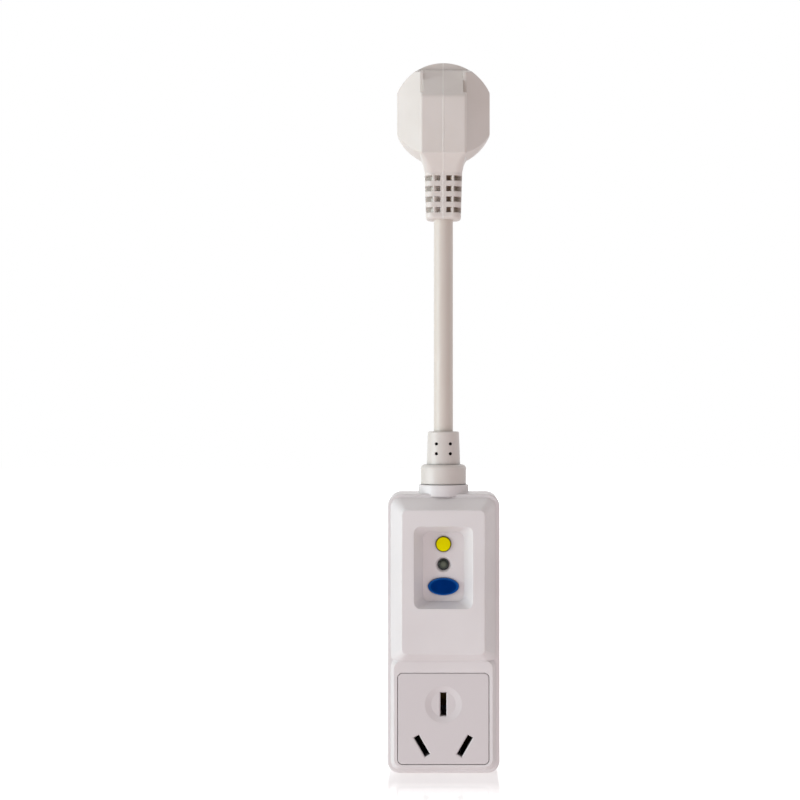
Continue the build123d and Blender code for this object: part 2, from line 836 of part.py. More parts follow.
def socket_clip(name):
    x, z, turn = blade_places(socket_pattern_z)[name]
    base_y = earth_base_y if name == "earth" else strip_y + strip_thickness
    clip = block(-clip_belly - clip_leaf, clip_belly + clip_leaf, base_y - strip_thickness, base_y,
                 -clip_height / 2, clip_height / 2)
    for side in (-1, 1):
        outline = [(side * across, depth) for across, depth in leaf_points(base_y)]
        leaf = Plane.XY.offset(-blade_width / 2) * make_face(Polyline(*outline, close=True))
        clip += extrude(leaf, blade_width)
    return Pos(x, 0, z) * Rot(0, -turn, 0) * clip


tag_length = 4.6
tag_width = 4.0
tag_y = -6.0


def earth_clip():
    clip = socket_clip("earth")
    x, z, turn = blade_places(socket_pattern_z)["earth"]
    top_z = z + blade_width / 2
    tag = block(clip_belly, clip_belly + clip_leaf, tag_y - tag_width / 2, tag_y + tag_width / 2,
                top_z - overrun, top_z + tag_length)
    return clip + tag


strip_width = 4.0
strip_inset = 8.1
strip_side = housing_width / 2 - strip_inset
strip_lap = 3.4
strip_turn_rise = 8.4


def bus_strip(name):
    x, z, turn = blade_places(socket_pattern_z)[name]
    side = 1 if x > 0 else -1
    run_x = side * strip_side
    turn_z = z + strip_turn_rise
    top_z = board_low_z + strip_lap
    straight = block(run_x - strip_width / 2, run_x + strip_width / 2,
                     strip_y, strip_y + strip_thickness, turn_z, top_z)
    path = Line((x + side * clip_belly, z + clip_leaf), (run_x, turn_z))
    middle = path @ 0.5
    angle = math.degrees(math.atan2(turn_z - z - clip_leaf, run_x - x - side * clip_belly))
    slope = slab(RectangleRounded(path.length + strip_width, strip_width, strip_width * 0.45),
                 middle.X, middle.Y, strip_y, strip_y + strip_thickness, angle)
    clip_base = slab(Rectangle(clip_width + fit_gap, clip_height + fit_gap), x, z,
                     strip_y - overrun, strip_y + 2 * overrun, turn)
    strip = straight + slope - clip_base
    return strip.solids().sort_by(SortBy.VOLUME)[-1]


# Circuit board with the parts that stand on it

transformer_inset = 8.1
transformer_x = transformer_inset - board_left
transformer_drop = 7.8
transformer_radius = 6.5
transformer_bore = 2.8
transformer_height = 7.0
transformer_wall = 0.8
transformer_z = board_top_z - transformer_drop


def board_outline():
    return block(-board_left, board_right, board_front_y, board_back_y, board_low_z, board_top_z)


def circuit_board():
    board = board_outline()
    for x, z in board_post_places:
        board -= slab(Circle(clamp_screw_radius + seat_gap), x, z,
                      board_front_y - overrun, board_back_y + overrun)
    return board


def transformer_case():
    top_y = board_front_y - transformer_height
    case = slab(Circle(transformer_radius), transformer_x, transformer_z, top_y, board_front_y)
    case -= slab(Circle(transformer_bore), transformer_x, transformer_z,
                 top_y - overrun, board_front_y + overrun)
    return case - transformer_ring(0)


def transformer_ring(inset):
    top_y = board_front_y - transformer_height
    margin = transformer_wall + inset
    ring = slab(Circle(transformer_radius - margin), transformer_x, transformer_z,
                top_y + margin, board_front_y - margin)
    ring -= slab(Circle(transformer_bore + margin), transformer_x, transformer_z,
                 top_y, board_front_y)
    return ring


# Switch frame: a plastic bridge over the contacts, with a tongue under the small controls

frame_half_width = 13.0
frame_wall = 1.8
frame_stand = 11.5
frame_top_y = board_front_y - frame_stand
frame_plate = 1.2
frame_above = 7.1
frame_below = 7.5
tongue_half_width = 4.0
tongue_above = 3.3
led_radius = 1.5
frame_under_y = frame_top_y + frame_plate


def switch_frame():
    frame = block(-frame_half_width, frame_half_width, frame_top_y, board_front_y,
                  reset_z - frame_below, reset_z + frame_above)
    hollow = frame_half_width - frame_wall
    frame -= block(-hollow, hollow, frame_under_y, board_front_y + overrun,
                   reset_z - frame_below - overrun, reset_z + frame_above + overrun)
    frame += block(-tongue_half_width, tongue_half_width, frame_top_y, frame_under_y,
                   reset_z + frame_above - overrun, test_z + tongue_above)
    for z, radius in ((reset_z, stem_radius), (test_z, stem_radius), (lens_z, led_radius)):
        frame -= slab(Circle(radius + seat_gap), 0, z, frame_top_y - overrun, frame_under_y + overrun)
    return frame


contact_side = 8.6
contact_width = 3.0
contact_sheet = 0.6
rivet_radius = 1.3
rivet_height = 0.65
rivet_reach = 3.8
contact_gap = 0.05
bridge_length = 10.0


def fixed_contact(side, up):
    x = side * contact_side
    x_low = x - contact_width / 2
    x_high = x + contact_width / 2
    sheet_y = frame_under_y + contact_sheet
    inner_z = reset_z + up * (rivet_reach - rivet_radius)
    outer_z = reset_z + up * (frame_above - seat_gap)
    sheet = block(x_low, x_high, frame_under_y, sheet_y, min(inner_z, outer_z), max(inner_z, outer_z))
    bend_z = outer_z - up * contact_sheet
    leg = block(x_low, x_high, frame_under_y, board_front_y, min(bend_z, outer_z), max(bend_z, outer_z))
    rivet = slab(Circle(rivet_radius), x, reset_z + up * rivet_reach, sheet_y, sheet_y + rivet_height)
    return sheet + leg + rivet


bridge_y = frame_under_y + contact_sheet + 2 * rivet_height + contact_gap
carrier_half_width = 4.4
carrier_top_y = frame_under_y + sheet_thickness
wing_y = bridge_y + contact_sheet
wing_thickness = 2.0
wing_reach = frame_half_width - frame_wall - seat_gap
wing_half_height = 3.4
carrier_below = 4.1
carrier_above = 4.7
latch_cover = 1.4
latch_y = carrier_top_y + latch_cover
latch_above = 3.7
latch_end_gap = 0.5
latch_half_width = 3.0
latch_gap = 0.05
carrier_low_y = latch_y + sheet_thickness + 2 * overrun + latch_gap


def contact_bridge(side):
    x = side * contact_side
    bar = slab(Rectangle(contact_width, bridge_length), x, reset_z, bridge_y, wing_y)
    for up in (-1, 1):
        bar += slab(Circle(rivet_radius), x, reset_z + up * rivet_reach, bridge_y - rivet_height, bridge_y)
    return bar


def contact_carrier():
    body = block(-carrier_half_width, carrier_half_width, carrier_top_y, carrier_low_y,
                 reset_z - carrier_below, reset_z + carrier_above)
    body += block(-wing_reach, wing_reach, wing_y, wing_y + wing_thickness,
                  reset_z - wing_half_height, reset_z + wing_half_height)
    slot_half = latch_half_width + seat_gap
    body -= block(-slot_half, slot_half, latch_y - latch_gap, latch_y + sheet_thickness + latch_gap,
                  reset_z - carrier_below - overrun, reset_z + latch_above + latch_end_gap)
    body -= slab(Circle(stem_radius + seat_gap), 0, reset_z, carrier_top_y - overrun, carrier_low_y + overrun)
    return body


notch_floor = 0.9
latch_edge = notch_floor + fit_gap
ramp_length = 0.7
plunger_y = latch_y + sheet_thickness / 2
plunger_radius = 1.6
plunger_neck_radius = 0.8
plunger_head_length = 1.0
tab_thickness = 0.8
tab_below = 5.8
prong_gap = 0.15
prong_reach = frame_under_y + fit_gap * 2
tab_web = 0.6


def trip_latch():
    tab_high_z = reset_z - tab_below
    tab_low_z = tab_high_z - tab_thickness
    plate = block(-latch_half_width, latch_half_width, latch_y, latch_y + sheet_thickness,
                  tab_low_z, reset_z + latch_above)
    hole_half = stem_radius + prong_gap
    hole_high = stem_radius + seat_gap + latch_travel
    plate -= block(-hole_half, hole_half, latch_y - overrun, latch_y + 2 * overrun,
                   reset_z - latch_edge, reset_z + hole_high)
    head_half = plunger_radius + prong_gap
    plate -= block(-head_half, head_half, latch_y - overrun, latch_y + 2 * overrun,
                   tab_high_z, tab_high_z + plunger_head_length + latch_gap * 3)
    neck_half = plunger_neck_radius + prong_gap
    web_y = plunger_y + plunger_neck_radius + seat_gap
    tab = block(-latch_half_width, latch_half_width, prong_reach, web_y + tab_web,
                tab_low_z, tab_high_z)
    latch = plate + tab
    latch -= block(-neck_half, neck_half, prong_reach - overrun, web_y,
                   tab_low_z - overrun, tab_high_z + fit_gap)
    return latch


# Solenoid behind the reset button, lying along Z

yoke_top_drop = 12.0
yoke_plate = 1.0
yoke_half_width = 5.0
coil_length = 12.4
coil_radius = 5.6
bobbin_flange = 0.9
bobbin_core_radius = 2.5
yoke_high_z = reset_z - yoke_top_drop
yoke_low_z = yoke_high_z - 2 * yoke_plate - coil_length
yoke_front_y = plunger_y - coil_radius + sheet_thickness
plunger_end_z = yoke_low_z + yoke_plate + latch_travel + sheet_thickness


def solenoid_yoke():
    yoke = block(-yoke_half_width, yoke_half_width, board_front_y - yoke_plate, board_front_y,
                 yoke_low_z, yoke_high_z)
    for low_z in (yoke_low_z, yoke_high_z - yoke_plate):
        yoke += block(-yoke_half_width, yoke_half_width, yoke_front_y, board_front_y,
                      low_z, low_z + yoke_plate)
    hole = plunger_radius + prong_gap
    yoke -= upright(0, plunger_y, hole, yoke_high_z - yoke_plate - fit_gap, yoke_high_z + overrun)
    return yoke


def solenoid_bobbin():
    low_z = yoke_low_z + yoke_plate
    high_z = yoke_high_z - yoke_plate
    spool = upright(0, plunger_y, bobbin_core_radius, low_z, high_z)
    spool += upright(0, plunger_y, coil_radius, low_z, low_z + bobbin_flange)
    spool += upright(0, plunger_y, coil_radius, high_z - bobbin_flange, high_z)
    return spool - upright(0, plunger_y, plunger_radius + fit_gap, low_z - overrun, high_z + overrun)


def solenoid_winding():
    low_z = yoke_low_z + yoke_plate + bobbin_flange
    high_z = yoke_high_z - yoke_plate - bobbin_flange
    winding = upright(0, plunger_y, coil_radius - bobbin_flange / 2, low_z, high_z)
    return winding - upright(0, plunger_y, bobbin_core_radius, low_z - overrun, high_z + overrun)


plunger_collar_radius = 2.4
plunger_collar_length = 0.7
plunger_collar_drop = 0.5


def plunger_spring_seat():
    tab_low_z = reset_z - tab_below - tab_thickness
    return tab_low_z - latch_gap - plunger_collar_drop - plunger_collar_length


def trip_plunger():
    tab_high_z = reset_z - tab_below
    tab_low_z = tab_high_z - tab_thickness
    neck_low_z = tab_low_z - latch_gap
    head_low_z = tab_high_z + latch_gap
    rod = upright(0, plunger_y, plunger_radius, plunger_end_z, neck_low_z)
    rod += upright(0, plunger_y, plunger_neck_radius, neck_low_z, head_low_z)
    rod += upright(0, plunger_y, plunger_radius, head_low_z, head_low_z + plunger_head_length)
    seat_z = plunger_spring_seat()
    rod += upright(0, plunger_y, plunger_collar_radius, seat_z, seat_z + plunger_collar_length)
    return rod


plunger_spring_wire = 0.15
plunger_spring_turns = 5


def plunger_spring():
    seat_z = plunger_spring_seat() - fit_gap
    length = seat_z - yoke_high_z - fit_gap
    radius = plunger_radius + plunger_spring_wire + seat_gap
    return spring((0, plunger_y, seat_z), (0, 0, -1), length, radius, plunger_spring_wire, plunger_spring_turns)


# Buttons, their springs and the indicator

hook_length = 1.8
notch_spare = 0.65
stem_end_y = latch_y + sheet_thickness + hook_length


def reset_button():
    front_y = recess_floor_y - reset_button_proud
    flange_y = floor_under_y + seat_gap
    cap = slab(reset_outline(0), 0, reset_z, front_y, flange_y)
    rim = cap.faces().sort_by(Axis.Y)[0]
    cap = fillet(rim.edges(), button_round * 2)
    cap += slab(reset_outline(flange_width), 0, reset_z, flange_y, flange_y + flange_thickness)
    cap += slab(Circle(stem_radius), 0, reset_z, flange_y, stem_end_y)
    shoulder_y = latch_y + sheet_thickness + latch_gap
    top_y = shoulder_y - reset_travel - sheet_thickness - notch_spare
    deep_z = reset_z - notch_floor
    out_z = reset_z - stem_radius - seat_gap
    outline = [
        (top_y, deep_z),
        (shoulder_y, deep_z),
        (shoulder_y + ramp_length, out_z + seat_gap),
        (shoulder_y + ramp_length, out_z),
        (top_y, out_z),
    ]
    notch = Plane.YZ.offset(-stem_radius - overrun) * make_face(Polyline(*outline, close=True))
    return cap - extrude(notch, 2 * (stem_radius + overrun))


test_stem_height = 5.9
test_stem_end_y = board_front_y - test_stem_height
leaf_thickness = 0.4
leaf_width = 3.0
leaf_foot = 2.4


def test_button():
    front_y = recess_floor_y - test_button_proud
    flange_y = floor_under_y + seat_gap
    cap = slab(Circle(test_button_radius), 0, test_z, front_y, flange_y)
    rim = cap.faces().sort_by(Axis.Y)[0]
    cap = fillet(rim.edges(), button_round)
    cap += slab(Circle(test_button_radius + flange_width), 0, test_z, flange_y, flange_y + flange_thickness)
    cap += slab(Circle(stem_radius), 0, test_z, flange_y, test_stem_end_y)
    return cap


# A bent spring leaf: it stands on the board and reaches under the test button's stem
def test_contact():
    leaf_y = test_stem_end_y + test_travel + fit_gap
    near_z = test_z - stem_radius - leaf_thickness
    riser_z = test_z + stem_radius + leaf_foot / 2
    half = leaf_width / 2
    blade_part = block(-half, half, leaf_y, leaf_y + leaf_thickness, near_z, riser_z)
    riser = block(-half, half, leaf_y, board_front_y, riser_z - leaf_thickness, riser_z)
    foot = block(-half, half, board_front_y - leaf_thickness, board_front_y,
                 riser_z - leaf_thickness, riser_z + leaf_foot)
    return blade_part + riser + foot


button_spring_wire = 0.25
button_spring_radius = 2.3
button_spring_turns = 4


def button_spring(z):
    seat_y = floor_under_y + seat_gap + flange_thickness + fit_gap
    length = frame_top_y - seat_y - fit_gap
    return spring((0, seat_y, z), (0, 1, 0), length, button_spring_radius,
                  button_spring_wire, button_spring_turns)


carrier_spring_wire = 0.15
carrier_spring_radius = 0.95
carrier_spring_turns = 4
carrier_spring_side = 5.75


def carrier_springs():
    start_y = frame_under_y + fit_gap
    length = wing_y - start_y - fit_gap
    return [
        spring((side * carrier_spring_side, start_y, reset_z), (0, 1, 0), length,
               carrier_spring_radius, carrier_spring_wire, carrier_spring_turns)
        for side in (-1, 1)
    ]


def indicator_lens():
    flange_y = floor_under_y + seat_gap
    front_y = recess_floor_y - lens_dish_depth * 0.4
    lens = slab(Circle(lens_radius), 0, lens_z, front_y, flange_y)
    rim = lens.faces().sort_by(Axis.Y)[0]
    lens = fillet(rim.edges(), lens_dish_depth)
    return lens + slab(Circle(lens_radius + flange_width / 2), 0, lens_z, flange_y, flange_y + flange_thickness)


led_length = 4.4
led_leg = 0.5
led_leg_spread = 1.0


def indicator_led():
    front_y = floor_under_y + seat_gap + flange_thickness + seat_gap
    back_y = front_y + led_length
    lamp = slab(Circle(led_radius), 0, lens_z, front_y, back_y)
    tip = lamp.faces().sort_by(Axis.Y)[0]
    lamp = fillet(tip.edges(), led_radius * 0.8)
    for side in (-1, 1):
        x = side * led_leg_spread
        lamp += block(x - led_leg / 2, x + led_leg / 2, back_y - overrun * 0.5, board_front_y,
                      lens_z - led_leg / 2, lens_z + led_leg / 2)
    return lamp


# Small parts on the board: places are measured from the board's top edge and from its centre line

capacitor_size = (11.0, 9.0, 5.4)
capacitor_place = (8.9, 10.6)
lead_radius = 0.3
lead_stand = 0.8


def filter_capacitor():
    width, height, thick = capacitor_size
    x, drop = capacitor_place
    z = board_top_z - drop
    back_y = board_front_y - lead_stand
    case = block(x - width / 2, x + width / 2, back_y - height, back_y, z - thick / 2, z + thick / 2)
    case = fillet(case.edges().filter_by(Axis.Y), lead_stand)
    for side in (-1, 1):
        case += slab(Circle(lead_radius), x + side * width * 0.35, z, back_y - overrun, board_front_y)
    return case


varistor_radius = 4.6
varistor_thickness = 3.4
varistor_inset = 2.2
varistor_place = (varistor_inset - board_left, 38.5)


def varistor():
    x, drop = varistor_place
    z = board_top_z - drop
    mid_y = board_front_y - lead_stand - varistor_radius
    disc = Pos(x, mid_y, z) * Rot(0, 90, 0) * Cylinder(varistor_radius, varistor_thickness)
    disc = fillet(disc.edges().filter_by(GeomType.CIRCLE), varistor_thickness * 0.25)
    for side in (-1, 1):
        disc += slab(Circle(lead_radius), x, z + side * varistor_radius * 0.5, mid_y, board_front_y)
    return disc


axial_body_length = 4.2
axial_body_radius = 1.25
axial_span = 6.4
resistor_count = 2
resistor_top_drop = 31.6
resistor_inset = 4.0
resistor_x = board_right - resistor_inset
resistor_pitch = 2.9
diode_count = 4
diode_top_drop = 32.2
diode_x = -9.6
diode_pitch = 3.2


# A wire-ended part that lies along X, with its leads bent down to the board
def axial_part(x, z, radius):
    mid_y = board_front_y - radius - fit_gap
    body = Pos(x, mid_y, z) * Rot(0, 90, 0) * Cylinder(radius, axial_body_length)
    body += Pos(x, mid_y, z) * Rot(0, 90, 0) * Cylinder(lead_radius, axial_span)
    for side in (-1, 1):
        end_x = x + side * (axial_span / 2 - lead_radius)
        body += slab(Circle(lead_radius), end_x, z, mid_y, board_front_y)
    return body


def resistors():
    return [
        axial_part(resistor_x, board_top_z - resistor_top_drop - row * resistor_pitch, axial_body_radius * 0.9)
        for row in range(resistor_count)
    ]


def diodes():
    return [
        axial_part(diode_x, board_top_z - diode_top_drop - row * diode_pitch, axial_body_radius)
        for row in range(diode_count)
    ]


thyristor_inset = 3.2
thyristor_place = (board_right - thyristor_inset, 37.6)
thyristor_radius = 2.3
thyristor_height = 4.8
thyristor_stand = 2.0
thyristor_pitch = 1.27


def thyristor():
    x, drop = thyristor_place
    z = board_top_z - drop
    back_y = board_front_y - thyristor_stand
    case = slab(Circle(thyristor_radius), x, z, back_y - thyristor_height, back_y)
    case -= block(x - 2 * thyristor_radius, x + 2 * thyristor_radius,
                  back_y - thyristor_height - overrun, back_y + overrun,
                  z - 2 * thyristor_radius, z - thyristor_radius * 0.55)
    for step in (-1, 0, 1):
        case += slab(Circle(lead_radius * 0.8), x + step * thyristor_pitch, z,
                     back_y - overrun, board_front_y)
    return case


chip_size = (5.0, 1.6, 4.0)
chip_inset = 3.4
chip_place = (board_right - chip_inset, 43.2)
chip_leg = 0.4
chip_legs_per_side = 4
chip_pitch = 1.2
chip_leg_reach = 1.0
chip_stand = 0.15


def control_chip():
    width, height, depth = chip_size
    x, drop = chip_place
    z = board_top_z - drop
    back_y = board_front_y - chip_stand
    chip = block(x - width / 2, x + width / 2, back_y - height, back_y, z - depth / 2, z + depth / 2)
    for step in range(chip_legs_per_side):
        leg_x = x + (step - (chip_legs_per_side - 1) / 2) * chip_pitch
        chip += block(leg_x - chip_leg / 2, leg_x + chip_leg / 2, board_front_y - chip_leg, board_front_y,
                      z - depth / 2 - chip_leg_reach, z + depth / 2 + chip_leg_reach)
    return chip


# Cores inside the housing

core_start_y = cord_y + live_core_rise
core_radius = core_diameter / 2
core_room = 0.5
core_y = frame_under_y + core_radius + core_room
core_bend = 2.6
earth_inset = 4.3
earth_side = housing_width / 2 - earth_inset
earth_run_y = tag_y
earth_front_y = cord_y - earth_core_spread
transformer_core_gap = 1.3
line_drop = 3.0
neutral_drop = 1.7
earth_drop = 2.3
earth_turn_drop = 5.5
earth_side_drop = 14.0


def housing_core(name):
    end_z = housing_cord_end_z
    if name == "earth":
        x, z, turn = blade_places(socket_pattern_z)["earth"]
        tag_x = clip_belly + clip_leaf + core_radius + fit_gap
        tag_z = z + blade_width / 2 + tag_length
        points = [
            (0, earth_front_y, end_z),
            (0, earth_front_y, end_z - earth_drop),
            (earth_side, earth_run_y - core_bend, end_z - earth_turn_drop),
            (earth_side, earth_run_y, end_z - earth_side_drop),
            (earth_side, earth_run_y, tag_z + earth_turn_drop * 1.2),
            (tag_x, earth_run_y, tag_z + core_bend * 0.7),
            (tag_x, earth_run_y, z + blade_width / 2 + core_radius / 2),
        ]
        return wire(points, core_bend * 0.8, core_radius)
    side = 1 if name == "line" else -1
    drop = line_drop if name == "line" else neutral_drop
    through_z = transformer_z - side * transformer_core_gap
    points = [
        (side * core_spread, core_start_y, end_z),
        (side * core_spread, core_y, end_z - drop),
        (transformer_x, core_y, through_z),
        (transformer_x, board_front_y, through_z),
    ]
    return wire(points, core_bend * 0.6, core_radius)


pieces = {
    "plug_body": plug_body(),
    "plug_pin_carrier": pin_carrier(),
    "plug_line_pin": pin_of("line"),
    "plug_neutral_pin": pin_of("neutral"),
    "plug_earth_pin": pin_of("earth"),
    "plug_line_core": plug_core("line"),
    "plug_neutral_core": plug_core("neutral"),
    "plug_earth_core": plug_core("earth"),
    "supply_cord": supply_cord(),
    "cord_gland": cord_gland(),
    "cord_clamp": cord_clamp(),
    "cord_clamp_screws": cord_clamp_screws(),
    "front_cover": front_cover(),
    "rear_cover": rear_cover(),
    "housing_screws": housing_screws(),
    "socket_plate": socket_plate(),
    "socket_line_clip": socket_clip("line"),
    "socket_neutral_clip": socket_clip("neutral"),
    "socket_earth_clip": earth_clip(),
    "line_bus_strip": bus_strip("line"),
    "neutral_bus_strip": bus_strip("neutral"),
    "circuit_board": circuit_board(),
    "board_screws": board_screws(),
    "transformer_case": transformer_case(),
    "transformer_core": transformer_ring(seat_gap),
    "switch_frame": switch_frame(),
    "line_inlet_contact": fixed_contact(1, 1),
    "line_outlet_contact": fixed_contact(1, -1),
    "neutral_inlet_contact": fixed_contact(-1, 1),
    "neutral_outlet_contact": fixed_contact(-1, -1),
    "contact_carrier": contact_carrier(),
    "line_contact_bridge": contact_bridge(1),
    "neutral_contact_bridge": contact_bridge(-1),
    "carrier_springs": carrier_springs(),
    "trip_latch": trip_latch(),
    "trip_plunger": trip_plunger(),
    "plunger_spring": plunger_spring(),
    "solenoid_yoke": solenoid_yoke(),
    "solenoid_bobbin": solenoid_bobbin(),
    "solenoid_winding": solenoid_winding(),
    "reset_button": reset_button(),
    "reset_spring": button_spring(reset_z),
    "test_button": test_button(),
    "test_spring": button_spring(test_z),
    "test_contact": test_contact(),
    "indicator_lens": indicator_lens(),
    "indicator_led": indicator_led(),
    "filter_capacitor": filter_capacitor(),
    "varistor": varistor(),
    "resistors": resistors(),
    "diodes": diodes(),
    "thyristor": thyristor(),
    "control_chip": control_chip(),
    "housing_line_core": housing_core("line"),
    "housing_neutral_core": housing_core("neutral"),
    "housing_earth_core": housing_core("earth"),
}

for name, piece in pieces.items():
    if isinstance(piece, list):
        piece = Compound(children=piece)
    export_step(piece, f"parts/{name}.step")
    print(name)
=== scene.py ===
import math
import bpy
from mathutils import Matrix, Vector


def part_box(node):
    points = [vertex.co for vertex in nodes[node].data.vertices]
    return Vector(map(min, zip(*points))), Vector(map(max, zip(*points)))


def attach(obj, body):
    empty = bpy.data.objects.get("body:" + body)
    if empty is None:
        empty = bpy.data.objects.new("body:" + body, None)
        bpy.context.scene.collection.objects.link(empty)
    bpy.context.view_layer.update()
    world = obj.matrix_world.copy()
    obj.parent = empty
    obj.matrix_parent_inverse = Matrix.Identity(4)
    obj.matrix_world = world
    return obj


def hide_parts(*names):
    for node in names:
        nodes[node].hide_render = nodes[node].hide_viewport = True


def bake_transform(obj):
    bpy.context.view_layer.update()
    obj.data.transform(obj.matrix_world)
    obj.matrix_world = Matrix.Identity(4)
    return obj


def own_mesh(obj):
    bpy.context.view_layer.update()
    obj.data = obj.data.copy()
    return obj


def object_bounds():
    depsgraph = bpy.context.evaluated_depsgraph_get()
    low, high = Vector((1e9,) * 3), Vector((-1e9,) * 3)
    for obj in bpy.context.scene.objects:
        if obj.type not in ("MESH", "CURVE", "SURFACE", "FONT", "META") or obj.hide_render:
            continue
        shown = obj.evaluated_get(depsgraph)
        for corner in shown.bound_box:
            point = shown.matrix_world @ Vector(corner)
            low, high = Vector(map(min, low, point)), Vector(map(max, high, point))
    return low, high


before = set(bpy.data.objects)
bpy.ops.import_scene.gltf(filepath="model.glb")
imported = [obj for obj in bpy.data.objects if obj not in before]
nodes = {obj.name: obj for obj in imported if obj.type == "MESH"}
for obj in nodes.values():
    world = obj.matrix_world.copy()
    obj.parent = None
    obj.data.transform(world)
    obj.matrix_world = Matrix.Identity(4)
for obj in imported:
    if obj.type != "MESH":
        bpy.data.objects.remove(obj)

cadLow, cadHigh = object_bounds()
print("frame loaded,", len(nodes), "nodes")


# Small helpers for node trees

def addNode(tree, kind, **values):
    made = tree.nodes.new(kind)
    for name, value in values.items():
        made.inputs[name].default_value = value
    return made


def mathNode(tree, operation, first, second=None):
    made = tree.nodes.new("ShaderNodeMath")
    made.operation = operation
    tree.links.new(first, made.inputs[0])
    if second is not None:
        if isinstance(second, (int, float)):
            made.inputs[1].default_value = second
        else:
            tree.links.new(second, made.inputs[1])
    return made.outputs[0]


def rangeNode(tree, value, fromLow, fromHigh, toLow, toHigh):
    made = tree.nodes.new("ShaderNodeMapRange")
    for index, number in enumerate((fromLow, fromHigh, toLow, toHigh), start=1):
        made.inputs[index].default_value = number
    tree.links.new(value, made.inputs[0])
    return made.outputs[0]


def mixColours(tree, share, first, second):
    made = tree.nodes.new("ShaderNodeMix")
    made.data_type = "RGBA"
    tree.links.new(share, made.inputs[0])
    for socket, source in ((made.inputs[6], first), (made.inputs[7], second)):
        if isinstance(source, tuple):
            socket.default_value = (*source, 1)
        else:
            tree.links.new(source, socket)
    return made.outputs[2]


def noiseNode(tree, vector, size, detail):
    made = addNode(tree, "ShaderNodeTexNoise", Scale=1 / size, Detail=detail)
    tree.links.new(vector, made.inputs["Vector"])
    return made.outputs[0]


def bumpNode(tree, height, depth, normal):
    made = addNode(tree, "ShaderNodeBump", Strength=1.0, Distance=depth)
    tree.links.new(height, made.inputs["Height"])
    tree.links.new(normal, made.inputs["Normal"])
    return made.outputs[0]


def axisNode(tree, place, axis):
    parts = tree.nodes.new("ShaderNodeSeparateXYZ")
    tree.links.new(place, parts.inputs[0])
    return parts.outputs[axis]


# How far a place lies from a node's middle, seen from the front
def fromMiddle(tree, place, nodeName, tall):
    low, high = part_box(nodeName)
    middle = (low + high) / 2
    flat = addNode(tree, "ShaderNodeMapping", Location=(-middle.x, 0, -middle.z * tall),
                   Scale=(1, 0, tall))
    tree.links.new(place, flat.inputs["Vector"])
    away = tree.nodes.new("ShaderNodeVectorMath")
    away.operation = "LENGTH"
    tree.links.new(flat.outputs[0], away.inputs[0])
    return away.outputs["Value"]


# What all finishes share

shared = {
    "cloudDetail": 4, "cloudBand": (0.35, 0.65), "glossShare": 0.4, "glossDetail": 5, "glossBand": (0.3, 0.7),
    "edgeSamples": 6, "edgeBand": (0.72, 0.995), "wearAndPaintedLight": 0.35, "hollowSamples": 6, "fade": 0.0002,
    "sideFade": 0.0005, "trackShift": 0.37, "ridgeShare": 0.3, "flowDetail": 1, "grainDetail": 2,
    "ior": 1.49, "coatRough": 0.08, "softColour": (1.0, 0.85, 0.7), "softReach": 0.0012,
}
